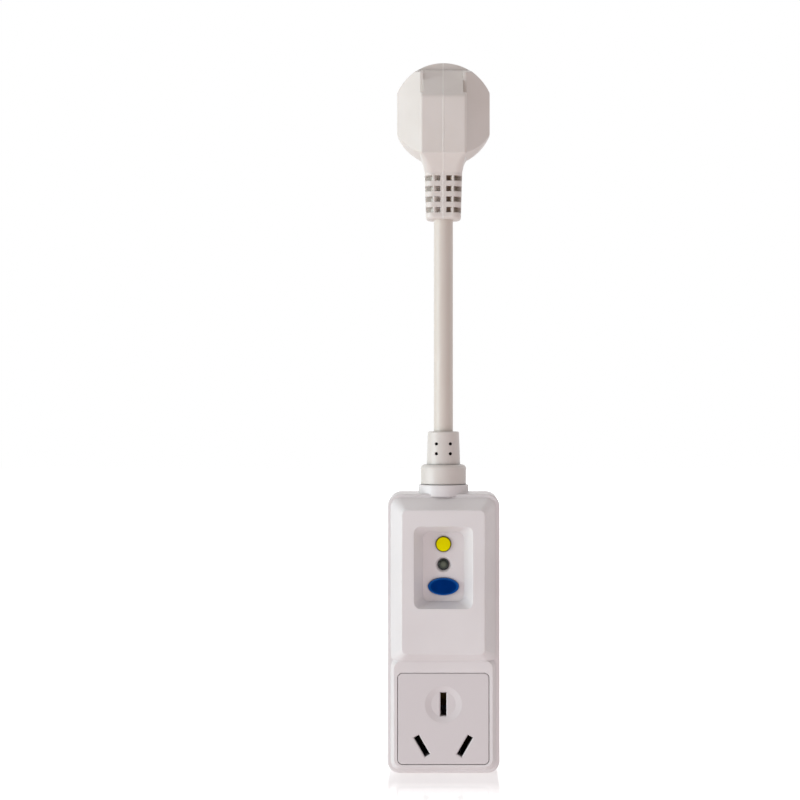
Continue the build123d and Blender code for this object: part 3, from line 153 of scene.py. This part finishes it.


# Clouded colour, softened edges in an edge colour (partly real wear, partly a painted highlight, and a painted
# shadow ring on the yellow button and the lens), uneven gloss and a fine skin
def makeFinish(name, look):
    material = bpy.data.materials.new(name)
    material.use_nodes = True
    tree = material.node_tree
    tree.nodes.clear()
    place = tree.nodes.new("ShaderNodeTexCoord").outputs["Object"]
    stretched = addNode(tree, "ShaderNodeMapping", Scale=look.get("stretch", (1, 1, 1)))
    tree.links.new(place, stretched.inputs["Vector"])
    spread = stretched.outputs[0]

    cloud = noiseNode(tree, spread, look["cloudSize"], shared["cloudDetail"])
    cloud = rangeNode(tree, cloud, *shared["cloudBand"], 0, 1)
    colour = mixColours(tree, cloud, look["colour"], look["shade"])
    softEdge = tree.nodes.new("ShaderNodeBevel")
    softEdge.samples = shared["edgeSamples"]
    softEdge.inputs["Radius"].default_value = look["edge"]
    facing = tree.nodes.new("ShaderNodeNewGeometry").outputs["Normal"]
    likeness = tree.nodes.new("ShaderNodeVectorMath")
    likeness.operation = "DOT_PRODUCT"
    tree.links.new(softEdge.outputs[0], likeness.inputs[0])
    tree.links.new(facing, likeness.inputs[1])
    # edge colour: real wear on the metal parts, a painted highlight along pale edges, painted shade along dark
    # edges
    wearAndPaintedLight = look.get("wearAndPaintedLight", shared["wearAndPaintedLight"])
    edgeWearAndLightShare = rangeNode(tree, likeness.outputs["Value"], *shared["edgeBand"], wearAndPaintedLight, 0)
    colour = mixColours(tree, edgeWearAndLightShare, colour, look.get("edgeColour", look["colour"]))
    normal = softEdge.outputs[0]
    if "cavityShade" in look:  # painted shade: darker colour where hardly any light gets in
        cavityShade = look["cavityShade"]
        hollow = tree.nodes.new("ShaderNodeAmbientOcclusion")
        hollow.samples = shared["hollowSamples"]
        hollow.inputs["Distance"].default_value = cavityShade["reach"]
        paintedShadeShare = rangeNode(tree, hollow.outputs["AO"], cavityShade["from"], cavityShade["to"], 1, 0)
        if "within" in cavityShade:  # painted shade in the slots alone, not the seam round the plate
            away = fromMiddle(tree, place, look["nodes"][0], 1)
            inside = rangeNode(tree, away, cavityShade["within"], cavityShade["within"] + shared["fade"], 1, 0)
            paintedShadeShare = mathNode(tree, "MULTIPLY", paintedShadeShare, inside)
        if "leftShare" in cavityShade:  # painted light: the painted shade is weaker on the left, as if side light fills the windows there
            side = rangeNode(tree, axisNode(tree, place, 0), -shared["sideFade"], shared["sideFade"],
                             cavityShade["leftShare"], 1)
            paintedShadeShare = mathNode(tree, "MULTIPLY", paintedShadeShare, side)
        colour = mixColours(tree, paintedShadeShare, colour, cavityShade["colour"])
    if "rim" in look:  # painted light: the outer ring of a button or lens, seen from the front, in another colour (a painted shadow ring on the yellow button and the lens, a painted highlight on the blue button)
        rim = look["rim"]
        away = fromMiddle(tree, place, look["nodes"][0], rim.get("tall", 1))
        outside = rangeNode(tree, away, rim["from"], rim["to"], 0, 1)
        colour = mixColours(tree, outside, colour, rim["colour"])
    if "bands" in look:  # turns of wire or colour rings across one axis
        bands = look["bands"]
        along = axisNode(tree, place, bands["axis"])
        turned = mathNode(tree, "MULTIPLY", along, 2 * math.pi / bands["pitch"])
        wave = rangeNode(tree, mathNode(tree, "SINE", turned), -1, 1, 0, 1)
        colour = mixColours(tree, rangeNode(tree, wave, bands["from"], 1, 0, 1), colour, bands["colour"])
        normal = bumpNode(tree, wave, bands["depth"], normal)
    if "tracks" in look:  # copper tracks that show through the board's green lacquer
        tracks = look["tracks"]
        laid = addNode(tree, "ShaderNodeMapping", Rotation=(math.radians(90), 0, 0))
        tree.links.new(place, laid.inputs["Vector"])
        bricks = addNode(tree, "ShaderNodeTexBrick", Scale=1 / tracks["pitch"])
        bricks.offset = shared["trackShift"]
        for name in ("Mortar Size", "Brick Width", "Row Height"):
            bricks.inputs[name].default_value = tracks[name]
        tree.links.new(laid.outputs[0], bricks.inputs["Vector"])
        colour = mixColours(tree, bricks.outputs["Fac"], colour, tracks["colour"])
        normal = bumpNode(tree, bricks.outputs["Fac"], tracks["depth"], normal)
    if "mouldLine" in look:  # where the two halves of the mould met: a real ridge, with a painted highlight in its paler colour
        line = look["mouldLine"]
        aside = mathNode(tree, "ABSOLUTE", axisNode(tree, place, 0))
        ridge = rangeNode(tree, aside, line["width"] * shared["ridgeShare"], line["width"], 1, 0)
        colour = mixColours(tree, ridge, colour, line["colour"])
        normal = bumpNode(tree, ridge, line["height"], normal)
    if "flow" in look:  # slow waviness of a thick soft moulding as it cools
        waves = noiseNode(tree, spread, look["flow"]["size"], shared["flowDetail"])
        normal = bumpNode(tree, waves, look["flow"]["depth"], normal)
    grain = noiseNode(tree, spread, look["grainSize"], shared["grainDetail"])
    normal = bumpNode(tree, grain, look["grainDepth"], normal)

    shader = addNode(tree, "ShaderNodeBsdfPrincipled", Metallic=look.get("metal", 0.0), IOR=shared["ior"])
    shader.inputs["Specular Tint"].default_value = (*look.get("tint", (1, 1, 1)), 1)
    shader.inputs["Coat Weight"].default_value = look.get("coat", 0.0)
    shader.inputs["Coat Roughness"].default_value = shared["coatRough"]
    shader.inputs["Subsurface Weight"].default_value = look.get("depth", 0.0)
    shader.inputs["Subsurface Radius"].default_value = shared["softColour"]
    shader.inputs["Subsurface Scale"].default_value = shared["softReach"]
    shader.inputs["Transmission Weight"].default_value = look.get("clear", 0.0)
    gloss = noiseNode(tree, spread, look["cloudSize"] * shared["glossShare"], shared["glossDetail"])
    rough = rangeNode(tree, gloss, *shared["glossBand"], *look["rough"])
    tree.links.new(rough, shader.inputs["Roughness"])
    tree.links.new(colour, shader.inputs["Base Color"])
    tree.links.new(normal, shader.inputs["Normal"])
    out = tree.nodes.new("ShaderNodeOutputMaterial")
    tree.links.new(shader.outputs[0], out.inputs["Surface"])
    return material


def giveFinish(piece, material):
    if not piece.material_slots:
        piece.data.materials.append(material)
    for held in piece.material_slots:
        held.material = material


# Finishes, each with the pieces that have it

housingLook = {
    "nodes": ["front_cover", "rear_cover"],
    # the paler edge colour is a painted highlight along the edges
    "colour": (0.78, 0.765, 0.76), "shade": (0.74, 0.72, 0.715), "edgeColour": (0.84, 0.83, 0.82),
    "cloudSize": 0.03, "edge": 0.0004, "rough": (0.3, 0.42), "grainSize": 0.0003, "grainDepth": 0.000012,
    "flow": {"size": 0.02, "depth": 0.00005}, "depth": 0.05,
    # painted shade: a darker colour in recesses, corners and gaps
    "cavityShade": {"reach": 0.012, "from": 0.2, "to": 0.6, "colour": (0.64, 0.61, 0.605)},
}
plateLook = {
    "nodes": ["socket_plate"],
    # the paler edge colour is a painted highlight along the plate's edges and slot rims
    "colour": (0.688, 0.663, 0.663), "shade": (0.68, 0.655, 0.655), "edgeColour": (0.76, 0.74, 0.74),
    "cloudSize": 0.03, "edge": 0.0003, "rough": (0.29, 0.33), "grainSize": 0.00025, "grainDepth": 0.00001,
    # painted shade: near-black inside the socket slots
    "cavityShade": {"reach": 0.004, "from": 0.35, "to": 0.66, "colour": (0.02, 0.014, 0.012), "within": 0.0162},
}
plugLook = {
    "nodes": ["plug_body"],
    # the paler edge colour is a painted highlight along the edges
    "colour": (0.74, 0.705, 0.665), "shade": (0.70, 0.66, 0.615), "edgeColour": (0.80, 0.77, 0.73),
    "cloudSize": 0.02, "edge": 0.0005, "rough": (0.34, 0.5), "grainSize": 0.0002, "grainDepth": 0.000012,
    # the mould line's paler colour is a painted highlight
    "mouldLine": {"width": 0.0003, "height": 0.00012, "colour": (0.84, 0.81, 0.77)},
    "flow": {"size": 0.012, "depth": 0.00008}, "depth": 0.12,
    # painted shade: dark brown in the strain relief's windows, kept paler on the left as painted side light
    "cavityShade": {"reach": 0.003, "from": 0.12, "to": 0.5, "colour": (0.3, 0.2, 0.12), "leftShare": 0.15},
}
glandLook = {
    "nodes": ["cord_gland"],
    # the paler edge colour is a painted highlight
    "colour": (0.70, 0.67, 0.63), "shade": (0.66, 0.63, 0.585), "edgeColour": (0.76, 0.73, 0.70),
    "cloudSize": 0.01, "edge": 0.0004, "rough": (0.32, 0.46), "grainSize": 0.0002, "grainDepth": 0.00001,
    "flow": {"size": 0.008, "depth": 0.00005}, "depth": 0.1,
    # painted shade: near-black in the gland's hollows
    "cavityShade": {"reach": 0.0022, "from": 0.3, "to": 0.75, "colour": (0.012, 0.008, 0.006)},
}
insertLook = {
    "nodes": ["plug_pin_carrier"],
    "colour": (0.68, 0.66, 0.62), "shade": (0.62, 0.60, 0.56), "cloudSize": 0.012, "edge": 0.0003,
    "rough": (0.35, 0.5), "grainSize": 0.0002, "grainDepth": 0.00001,
}
pinLook = {
    "nodes": ["plug_line_pin", "plug_neutral_pin", "plug_earth_pin"],
    "colour": (0.66, 0.63, 0.57), "shade": (0.55, 0.52, 0.46), "edgeColour": (0.78, 0.66, 0.42),
    "cloudSize": 0.006, "edge": 0.0002, "rough": (0.16, 0.3), "grainSize": 0.0004, "grainDepth": 0.000006,
    "stretch": (1, 0.08, 1), "metal": 1.0, "wearAndPaintedLight": 0.5,
}
brassLook = {
    "nodes": ["socket_line_clip", "socket_neutral_clip", "socket_earth_clip", "line_bus_strip",
              "neutral_bus_strip", "line_inlet_contact", "line_outlet_contact", "neutral_inlet_contact",
              "neutral_outlet_contact", "line_contact_bridge", "neutral_contact_bridge"],
    "colour": (0.72, 0.52, 0.22), "shade": (0.60, 0.41, 0.16), "edgeColour": (0.82, 0.64, 0.34),
    "cloudSize": 0.005, "edge": 0.00015, "rough": (0.2, 0.36), "grainSize": 0.0004, "grainDepth": 0.000006,
    "stretch": (0.1, 1, 1), "metal": 1.0,
    # painted shade: near-black in the hollows of the brass parts
    "cavityShade": {"reach": 0.006, "from": 0.25, "to": 0.7, "colour": (0.02, 0.012, 0.006)},
}
copperLook = {
    "nodes": ["solenoid_winding", "plug_line_core", "plug_neutral_core", "plug_earth_core"],
    "colour": (0.62, 0.24, 0.09), "shade": (0.52, 0.18, 0.06), "cloudSize": 0.004, "edge": 0.0001,
    "rough": (0.22, 0.34), "grainSize": 0.0003, "grainDepth": 0.000005, "metal": 0.9,
    "bands": {"axis": 2, "pitch": 0.0003, "from": 0.1, "colour": (0.75, 0.36, 0.16), "depth": 0.00008},
}
zincLook = {
    "nodes": ["housing_screws", "cord_clamp_screws", "board_screws", "solenoid_yoke", "transformer_core",
              "trip_plunger", "cord_clamp"],
    "colour": (0.58, 0.59, 0.62), "shade": (0.48, 0.50, 0.54), "edgeColour": (0.72, 0.72, 0.73),
    "cloudSize": 0.004, "edge": 0.00015, "rough": (0.22, 0.4), "grainSize": 0.0003, "grainDepth": 0.000008,
    "metal": 1.0, "wearAndPaintedLight": 0.5,
}
springLook = {
    "nodes": ["carrier_springs", "plunger_spring", "reset_spring", "test_spring", "test_contact"],
    "colour": (0.45, 0.45, 0.47), "shade": (0.36, 0.36, 0.39), "cloudSize": 0.002, "edge": 0.0001,
    "rough": (0.16, 0.26), "grainSize": 0.0002, "grainDepth": 0.000004, "metal": 1.0,
}
yellowLook = {
    "nodes": ["test_button"],
    # painted shadow: the dark edge colour and the dark outer ring round the button's rim
    "colour": (0.84, 0.79, 0.001), "shade": (0.78, 0.71, 0.001), "edgeColour": (0.34, 0.29, 0.01),
    "rim": {"from": 0.0025, "to": 0.00275, "colour": (0.11, 0.09, 0.003)},
    "cloudSize": 0.003, "edge": 0.0003, "rough": (0.24, 0.34), "grainSize": 0.0002, "grainDepth": 0.000006,
    "tint": (1, 0.9, 0.0), "wearAndPaintedLight": 1.0,
}
blueLook = {
    "nodes": ["reset_button"],
    # painted highlight: the lighter blue edge colour and outer ring round the button's rim
    "colour": (0.0004, 0.024, 0.17), "shade": (0.0003, 0.019, 0.14), "edgeColour": (0.02, 0.16, 0.5),
    "rim": {"from": 0.0046, "to": 0.0057, "tall": 1.788, "colour": (0.01, 0.11, 0.42)},
    "cloudSize": 0.004, "edge": 0.0003, "rough": (0.14, 0.22), "grainSize": 0.0002, "grainDepth": 0.000005,
    "tint": (0.0, 0.35, 1.0), "wearAndPaintedLight": 0.9,
}
lensLook = {
    "nodes": ["indicator_lens"],
    # painted shade and highlight: a paler middle inside a near-black edge and outer ring
    "colour": (0.15, 0.17, 0.125), "shade": (0.11, 0.135, 0.095), "edgeColour": (0.004, 0.008, 0.006),
    "rim": {"from": 0.0006, "to": 0.0017, "colour": (0.006, 0.014, 0.009)},
    "cloudSize": 0.002, "edge": 0.0011, "rough": (0.06, 0.12), "grainSize": 0.0003, "grainDepth": 0.000003,
    "coat": 0.5, "clear": 0.2, "wearAndPaintedLight": 1.0,
}
lampLook = {
    "nodes": ["indicator_led"],
    "colour": (0.42, 0.55, 0.42), "shade": (0.36, 0.48, 0.36), "cloudSize": 0.002, "edge": 0.0001,
    "rough": (0.06, 0.12), "grainSize": 0.0002, "grainDepth": 0.000003, "clear": 0.6,
}
boardLook = {
    "nodes": ["circuit_board"],
    "colour": (0.012, 0.09, 0.03), "shade": (0.01, 0.07, 0.024), "cloudSize": 0.01, "edge": 0.0002,
    "rough": (0.22, 0.34), "grainSize": 0.0004, "grainDepth": 0.000006,
    "tracks": {"pitch": 0.009, "Mortar Size": 0.03, "Brick Width": 1.4, "Row Height": 0.17,
               "colour": (0.03, 0.19, 0.06), "depth": 0.00004},
}
blackLook = {
    "nodes": ["thyristor", "control_chip", "diodes", "transformer_case"],
    "colour": (0.018, 0.018, 0.019), "shade": (0.028, 0.028, 0.03), "edgeColour": (0.05, 0.05, 0.05),
    "cloudSize": 0.003, "edge": 0.00015, "rough": (0.4, 0.55), "grainSize": 0.0002, "grainDepth": 0.00001,
}
nylonLook = {
    "nodes": ["switch_frame", "solenoid_bobbin", "contact_carrier", "trip_latch"],
    "colour": (0.05, 0.05, 0.055), "shade": (0.035, 0.035, 0.04), "edgeColour": (0.1, 0.1, 0.1),
    "cloudSize": 0.004, "edge": 0.0002, "rough": (0.45, 0.6), "grainSize": 0.0003, "grainDepth": 0.000015,
}
capacitorLook = {
    "nodes": ["filter_capacitor"],
    "colour": (0.68, 0.44, 0.03), "shade": (0.60, 0.37, 0.02), "cloudSize": 0.005, "edge": 0.0003,
    "rough": (0.22, 0.34), "grainSize": 0.0003, "grainDepth": 0.000006, "coat": 0.3,
}
varistorLook = {
    "nodes": ["varistor"],
    "colour": (0.01, 0.06, 0.24), "shade": (0.008, 0.045, 0.19), "cloudSize": 0.004, "edge": 0.0003,
    "rough": (0.25, 0.4), "grainSize": 0.0005, "grainDepth": 0.00003, "coat": 0.3,
}
resistorLook = {
    "nodes": ["resistors"],
    "colour": (0.50, 0.38, 0.20), "shade": (0.44, 0.32, 0.16), "cloudSize": 0.003, "edge": 0.0002,
    "rough": (0.35, 0.48), "grainSize": 0.0003, "grainDepth": 0.00001,
    "bands": {"axis": 2, "pitch": 0.0018, "from": 0.85, "colour": (0.10, 0.05, 0.02), "depth": 0.000002},
}
brownCoreLook = {
    "nodes": ["housing_line_core"],
    "colour": (0.09, 0.032, 0.012), "shade": (0.07, 0.024, 0.009), "cloudSize": 0.004, "edge": 0.0001,
    "rough": (0.34, 0.46), "grainSize": 0.0002, "grainDepth": 0.000008,
}
blueCoreLook = {
    "nodes": ["housing_neutral_core"],
    "colour": (0.01, 0.06, 0.30), "shade": (0.008, 0.045, 0.24), "cloudSize": 0.004, "edge": 0.0001,
    "rough": (0.34, 0.46), "grainSize": 0.0002, "grainDepth": 0.000008,
}
earthCoreLook = {
    "nodes": ["housing_earth_core"],
    "colour": (0.06, 0.26, 0.03), "shade": (0.05, 0.22, 0.025), "cloudSize": 0.004, "edge": 0.0001,
    "rough": (0.34, 0.46), "grainSize": 0.0002, "grainDepth": 0.000008,
    "bands": {"axis": 0, "pitch": 0.004, "from": 0.45, "colour": (0.72, 0.58, 0.02), "depth": 0.000001},
}
finishes = {
    "housingWhite": housingLook, "plateWhite": plateLook, "plugPvc": plugLook, "glandPvc": glandLook,
    "insertWhite": insertLook, "pinNickel": pinLook, "bareBrass": brassLook, "copperWire": copperLook,
    "zincSteel": zincLook, "springSteel": springLook, "testYellow": yellowLook, "resetBlue": blueLook,
    "lensGreen": lensLook, "lampClear": lampLook, "boardGreen": boardLook, "blackMoulding": blackLook,
    "darkNylon": nylonLook, "capacitorCase": capacitorLook, "varistorCoat": varistorLook,
    "resistorLacquer": resistorLook, "brownCore": brownCoreLook, "blueCore": blueCoreLook,
    "earthCore": earthCoreLook,
}
finished = set()
for finishName, look in finishes.items():
    material = makeFinish(finishName, look)
    for nodeName in look["nodes"]:
        giveFinish(nodes[nodeName], material)
        finished.add(nodeName)
print("finishes given to", len(finished), "nodes; left for new pieces:", sorted(set(nodes) - finished))


# Cord

cordLook = {
    "route": [(0, -0.012, -0.1591), (0, -0.012, -0.1242), (0, -0.012, -0.0838), (0, -0.012, -0.0422),
              (0, -0.012, -0.019)],
    "length": 0.1401, "diameter": 0.0074, "sides": 12,
    "colour": (0.71, 0.665, 0.605), "shade": (0.665, 0.615, 0.55), "cloudSize": 0.012, "edge": 0.0001,
    "rough": (0.3, 0.42), "grainSize": 0.0003, "grainDepth": 0.000012, "stretch": (1, 1, 0.2),
    "flow": {"size": 0.004, "depth": 0.00006}, "depth": 0.1,
}


def makeCord(look):
    curve = bpy.data.curves.new("flexCord", "CURVE")
    curve.dimensions = "3D"
    curve.resolution_u = 16
    curve.bevel_depth = look["diameter"] / 2
    curve.bevel_resolution = look["sides"]
    curve.use_fill_caps = True
    spline = curve.splines.new("NURBS")
    spline.points.add(len(look["route"]) - 1)
    for point, place in zip(spline.points, look["route"]):
        point.co = (*place, 1)
    spline.order_u = 3
    spline.use_endpoint_u = True
    flex = bpy.data.objects.new("flexCord", curve)
    bpy.context.scene.collection.objects.link(flex)
    giveFinish(flex, makeFinish("cordPvc", look))
    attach(flex, "housing")
    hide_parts("supply_cord")


makeCord(cordLook)
print("cord made")


# Springs: each coil is drawn again as a wound wire

coils = {
    "testCoil": {"node": "test_spring", "turns": 4, "wire": 0.00025, "along": "y",
                 "joint": "test_press", "travel": 0.0012},
    "resetCoil": {"node": "reset_spring", "turns": 4, "wire": 0.00025, "along": "y",
                  "joint": "reset_press", "travel": 0.002},
    "plungerCoil": {"node": "plunger_spring", "turns": 5, "wire": 0.00015, "along": "z",
                    "joint": "plunger_pull", "travel": 0.0016},
    "carrierCoils": {"node": "carrier_springs", "turns": 4, "wire": 0.00015, "along": "y",
                     "apart": 0.0115, "pushes": "contact_carrier"},
}
coilSides = 10
coilSteps = 20


def wind(name, coil, low, high):
    size = high - low
    width, length = (size.z, size.y) if coil["along"] == "y" else (size.y, size.z)
    length -= 2 * coil["wire"]
    bpy.ops.object.select_all(action="DESELECT")
    bpy.ops.mesh.primitive_circle_add(vertices=coilSides, radius=coil["wire"],
                                      rotation=(math.radians(90), 0, 0),
                                      location=(width / 2 - coil["wire"], 0, 0))
    wound = bpy.context.object
    wound.name = name
    bpy.ops.object.transform_apply(location=True, rotation=True, scale=True)
    turn = wound.modifiers.new("turns", "SCREW")
    turn.axis = "Z"
    turn.iterations = coil["turns"]
    turn.screw_offset = length / coil["turns"]
    turn.steps = turn.render_steps = coilSteps
    bpy.ops.object.modifier_apply(modifier=turn.name)
    bpy.ops.object.mode_set(mode="EDIT")
    bpy.ops.mesh.select_mode(type="EDGE")
    bpy.ops.mesh.select_all(action="DESELECT")
    bpy.ops.mesh.select_non_manifold()
    bpy.ops.mesh.fill_holes(sides=0)
    bpy.ops.mesh.select_all(action="SELECT")
    bpy.ops.mesh.normals_make_consistent(inside=False)
    bpy.ops.object.mode_set(mode="OBJECT")
    middle = (low + high) / 2
    if coil["along"] == "y":
        wound.rotation_euler = (math.radians(-90), 0, 0)
        wound.location = (middle.x, low.y + coil["wire"], middle.z)
    else:
        wound.location = (middle.x, middle.y, low.z + coil["wire"])
    if "apart" in coil:  # one each side, kept as one piece
        wound.location.x = -coil["apart"] / 2
        bpy.ops.object.duplicate()
        bpy.context.object.location.x = coil["apart"] / 2
        wound.select_set(True)
        bpy.context.view_layer.objects.active = wound
        bpy.ops.object.join()
    bpy.ops.object.transform_apply(location=True, rotation=True, scale=True)
    bpy.ops.object.shade_smooth()
    return wound


def makeCoil(name, coil):
    low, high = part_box(coil["node"])
    wound = wind(name, coil, low, high)
    giveFinish(wound, bpy.data.materials["springSteel"])
    if "pushes" in coil:
        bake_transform(wound)
    else:
        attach(wound, "housing")
        if coil["along"] == "y":
            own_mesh(wound)
        else:
            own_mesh(wound)
    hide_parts(coil["node"])


for coilName, coil in coils.items():
    makeCoil(coilName, coil)
print("springs wound:", len(coils))


# Studio: floor, light and camera

studio = {
    "floorDrop": 0.0006, "floorSize": 6.0, "floorColour": (0.86, 0.86, 0.86), "floorRough": 0.05,
    "floorIor": 1.45, "floorGlowNear": 0.27, "floorGlowFar": 1.0, "glowSide": (0.0205, 0.0235),
    "glowDeep": (0.022, 0.088), "glowMiddle": -0.012,
    "ambientBehind": 0.95, "ambientFront": 0.45, "ambientBelow": 0.3, "ambientAbove": 0.16,
    "ambientColour": (1.0, 0.925, 0.925), "roomShine": 0.12,
    "behindBand": (0.35, 0.8), "belowBand": (-0.8, 0.1), "aboveBand": (0.1, 0.9), "shineBand": (-0.25, 0.35),
    "lamps": {
        "leftSoftbox": {"place": (-1.13, -0.42, -0.14), "size": 0.8, "power": 9.2, "colour": (0.86, 0.98, 1.0),
                        "shine": True},
        "lowSoftbox": {"place": (0.0, -1.1, -0.75), "size": 0.8, "power": 2.9, "colour": (1, 0.77, 0.83)},
    },
    "target": (0, -0.012, -0.14),
    "cameraPlace": (0, -0.7111, -0.112), "lens": 81.0, "sensor": 36.0, "shiftX": -0.05425, "nearest": 0.01,
}


def makeFloor():
    bpy.ops.object.select_all(action="DESELECT")
    bpy.ops.mesh.primitive_plane_add(size=studio["floorSize"], location=(0, 0, cadLow.z - studio["floorDrop"]))
    floor = bpy.context.object
    floor.name = "studioFloor"
    material = bpy.data.materials.new("studioFloor")
    material.use_nodes = True
    tree = material.node_tree
    tree.nodes.clear()
    place = tree.nodes.new("ShaderNodeTexCoord").outputs["Object"]
    aside = mathNode(tree, "ABSOLUTE", axisNode(tree, place, 0))
    ahead = mathNode(tree, "SUBTRACT", axisNode(tree, place, 1), studio["glowMiddle"])
    ahead = mathNode(tree, "ABSOLUTE", ahead)
    glows = [rangeNode(tree, way, *studio[name], studio["floorGlowNear"], studio["floorGlowFar"])
             for way, name in ((aside, "glowSide"), (ahead, "glowDeep"))]
    glow = mathNode(tree, "MAXIMUM", *glows)
    cameraRay = tree.nodes.new("ShaderNodeLightPath").outputs["Is Camera Ray"]
    light = tree.nodes.new("ShaderNodeEmission")
    tree.links.new(mathNode(tree, "MULTIPLY", glow, cameraRay), light.inputs["Strength"])
    skin = addNode(tree, "ShaderNodeBsdfPrincipled", Roughness=studio["floorRough"], IOR=studio["floorIor"])
    skin.inputs["Base Color"].default_value = (*studio["floorColour"], 1)
    both = tree.nodes.new("ShaderNodeAddShader")
    tree.links.new(skin.outputs[0], both.inputs[0])
    tree.links.new(light.outputs[0], both.inputs[1])
    out = tree.nodes.new("ShaderNodeOutputMaterial")
    tree.links.new(both.outputs[0], out.inputs["Surface"])
    giveFinish(floor, material)
    floor.visible_shadow = False  # a clear table: light from under it reaches the object
    floor.visible_diffuse = False


def makeWorld():
    world = bpy.data.worlds.new("studioWorld")
    bpy.context.scene.world = world
    world.use_nodes = True
    tree = world.node_tree
    tree.nodes.clear()
    path = tree.nodes.new("ShaderNodeLightPath")
    way = tree.nodes.new("ShaderNodeTexCoord").outputs["Generated"]
    deep = axisNode(tree, way, 1)
    tall = axisNode(tree, way, 2)
    behind = rangeNode(tree, deep, *studio["behindBand"], studio["ambientFront"], studio["ambientBehind"])
    below = rangeNode(tree, tall, *studio["belowBand"], studio["ambientBelow"], 0)
    above = rangeNode(tree, tall, *studio["aboveBand"], 0, studio["ambientAbove"])
    ambient = mathNode(tree, "ADD", behind, mathNode(tree, "ADD", below, above))
    soft = addNode(tree, "ShaderNodeBackground", Color=(*studio["ambientColour"], 1))
    tree.links.new(ambient, soft.inputs["Strength"])
    shine = addNode(tree, "ShaderNodeBackground", Color=(1, 1, 1, 1))
    glint = rangeNode(tree, deep, *studio["shineBand"], studio["roomShine"], 1)
    tree.links.new(glint, shine.inputs["Strength"])
    white = addNode(tree, "ShaderNodeBackground", Color=(1, 1, 1, 1), Strength=1.0)
    first = tree.nodes.new("ShaderNodeMixShader")
    tree.links.new(path.outputs["Is Glossy Ray"], first.inputs[0])
    tree.links.new(soft.outputs[0], first.inputs[1])
    tree.links.new(shine.outputs[0], first.inputs[2])
    second = tree.nodes.new("ShaderNodeMixShader")
    seen = mathNode(tree, "MAXIMUM", path.outputs["Is Camera Ray"], path.outputs["Is Transmission Ray"])
    tree.links.new(seen, second.inputs[0])
    tree.links.new(first.outputs[0], second.inputs[1])
    tree.links.new(white.outputs[0], second.inputs[2])
    out = tree.nodes.new("ShaderNodeOutputWorld")
    tree.links.new(second.outputs[0], out.inputs["Surface"])


def makeLamps():
    for name, lamp in studio["lamps"].items():
        data = bpy.data.lights.new(name, "AREA")
        data.shape = "SQUARE"
        data.size = lamp["size"]
        data.energy = lamp["power"]
        data.color = lamp["colour"]
        held = bpy.data.objects.new(name, data)
        held.location = lamp["place"]
        aim = Vector(studio["target"]) - Vector(lamp["place"])
        held.rotation_euler = aim.to_track_quat("-Z", "Y").to_euler()
        held.visible_glossy = lamp.get("shine", False)
        bpy.context.scene.collection.objects.link(held)


def makeCamera():
    data = bpy.data.cameras.new("studioCamera")
    data.lens = studio["lens"]
    data.sensor_width = studio["sensor"]
    data.shift_x = studio["shiftX"]
    data.clip_start = studio["nearest"]
    camera = bpy.data.objects.new("studioCamera", data)
    camera.location = studio["cameraPlace"]
    camera.rotation_euler = (math.radians(90), 0, 0)
    bpy.context.scene.collection.objects.link(camera)
    bpy.context.scene.camera = camera


makeFloor()
makeWorld()
makeLamps()
makeCamera()
bpy.context.scene.view_settings.view_transform = "Standard"
print("studio made")
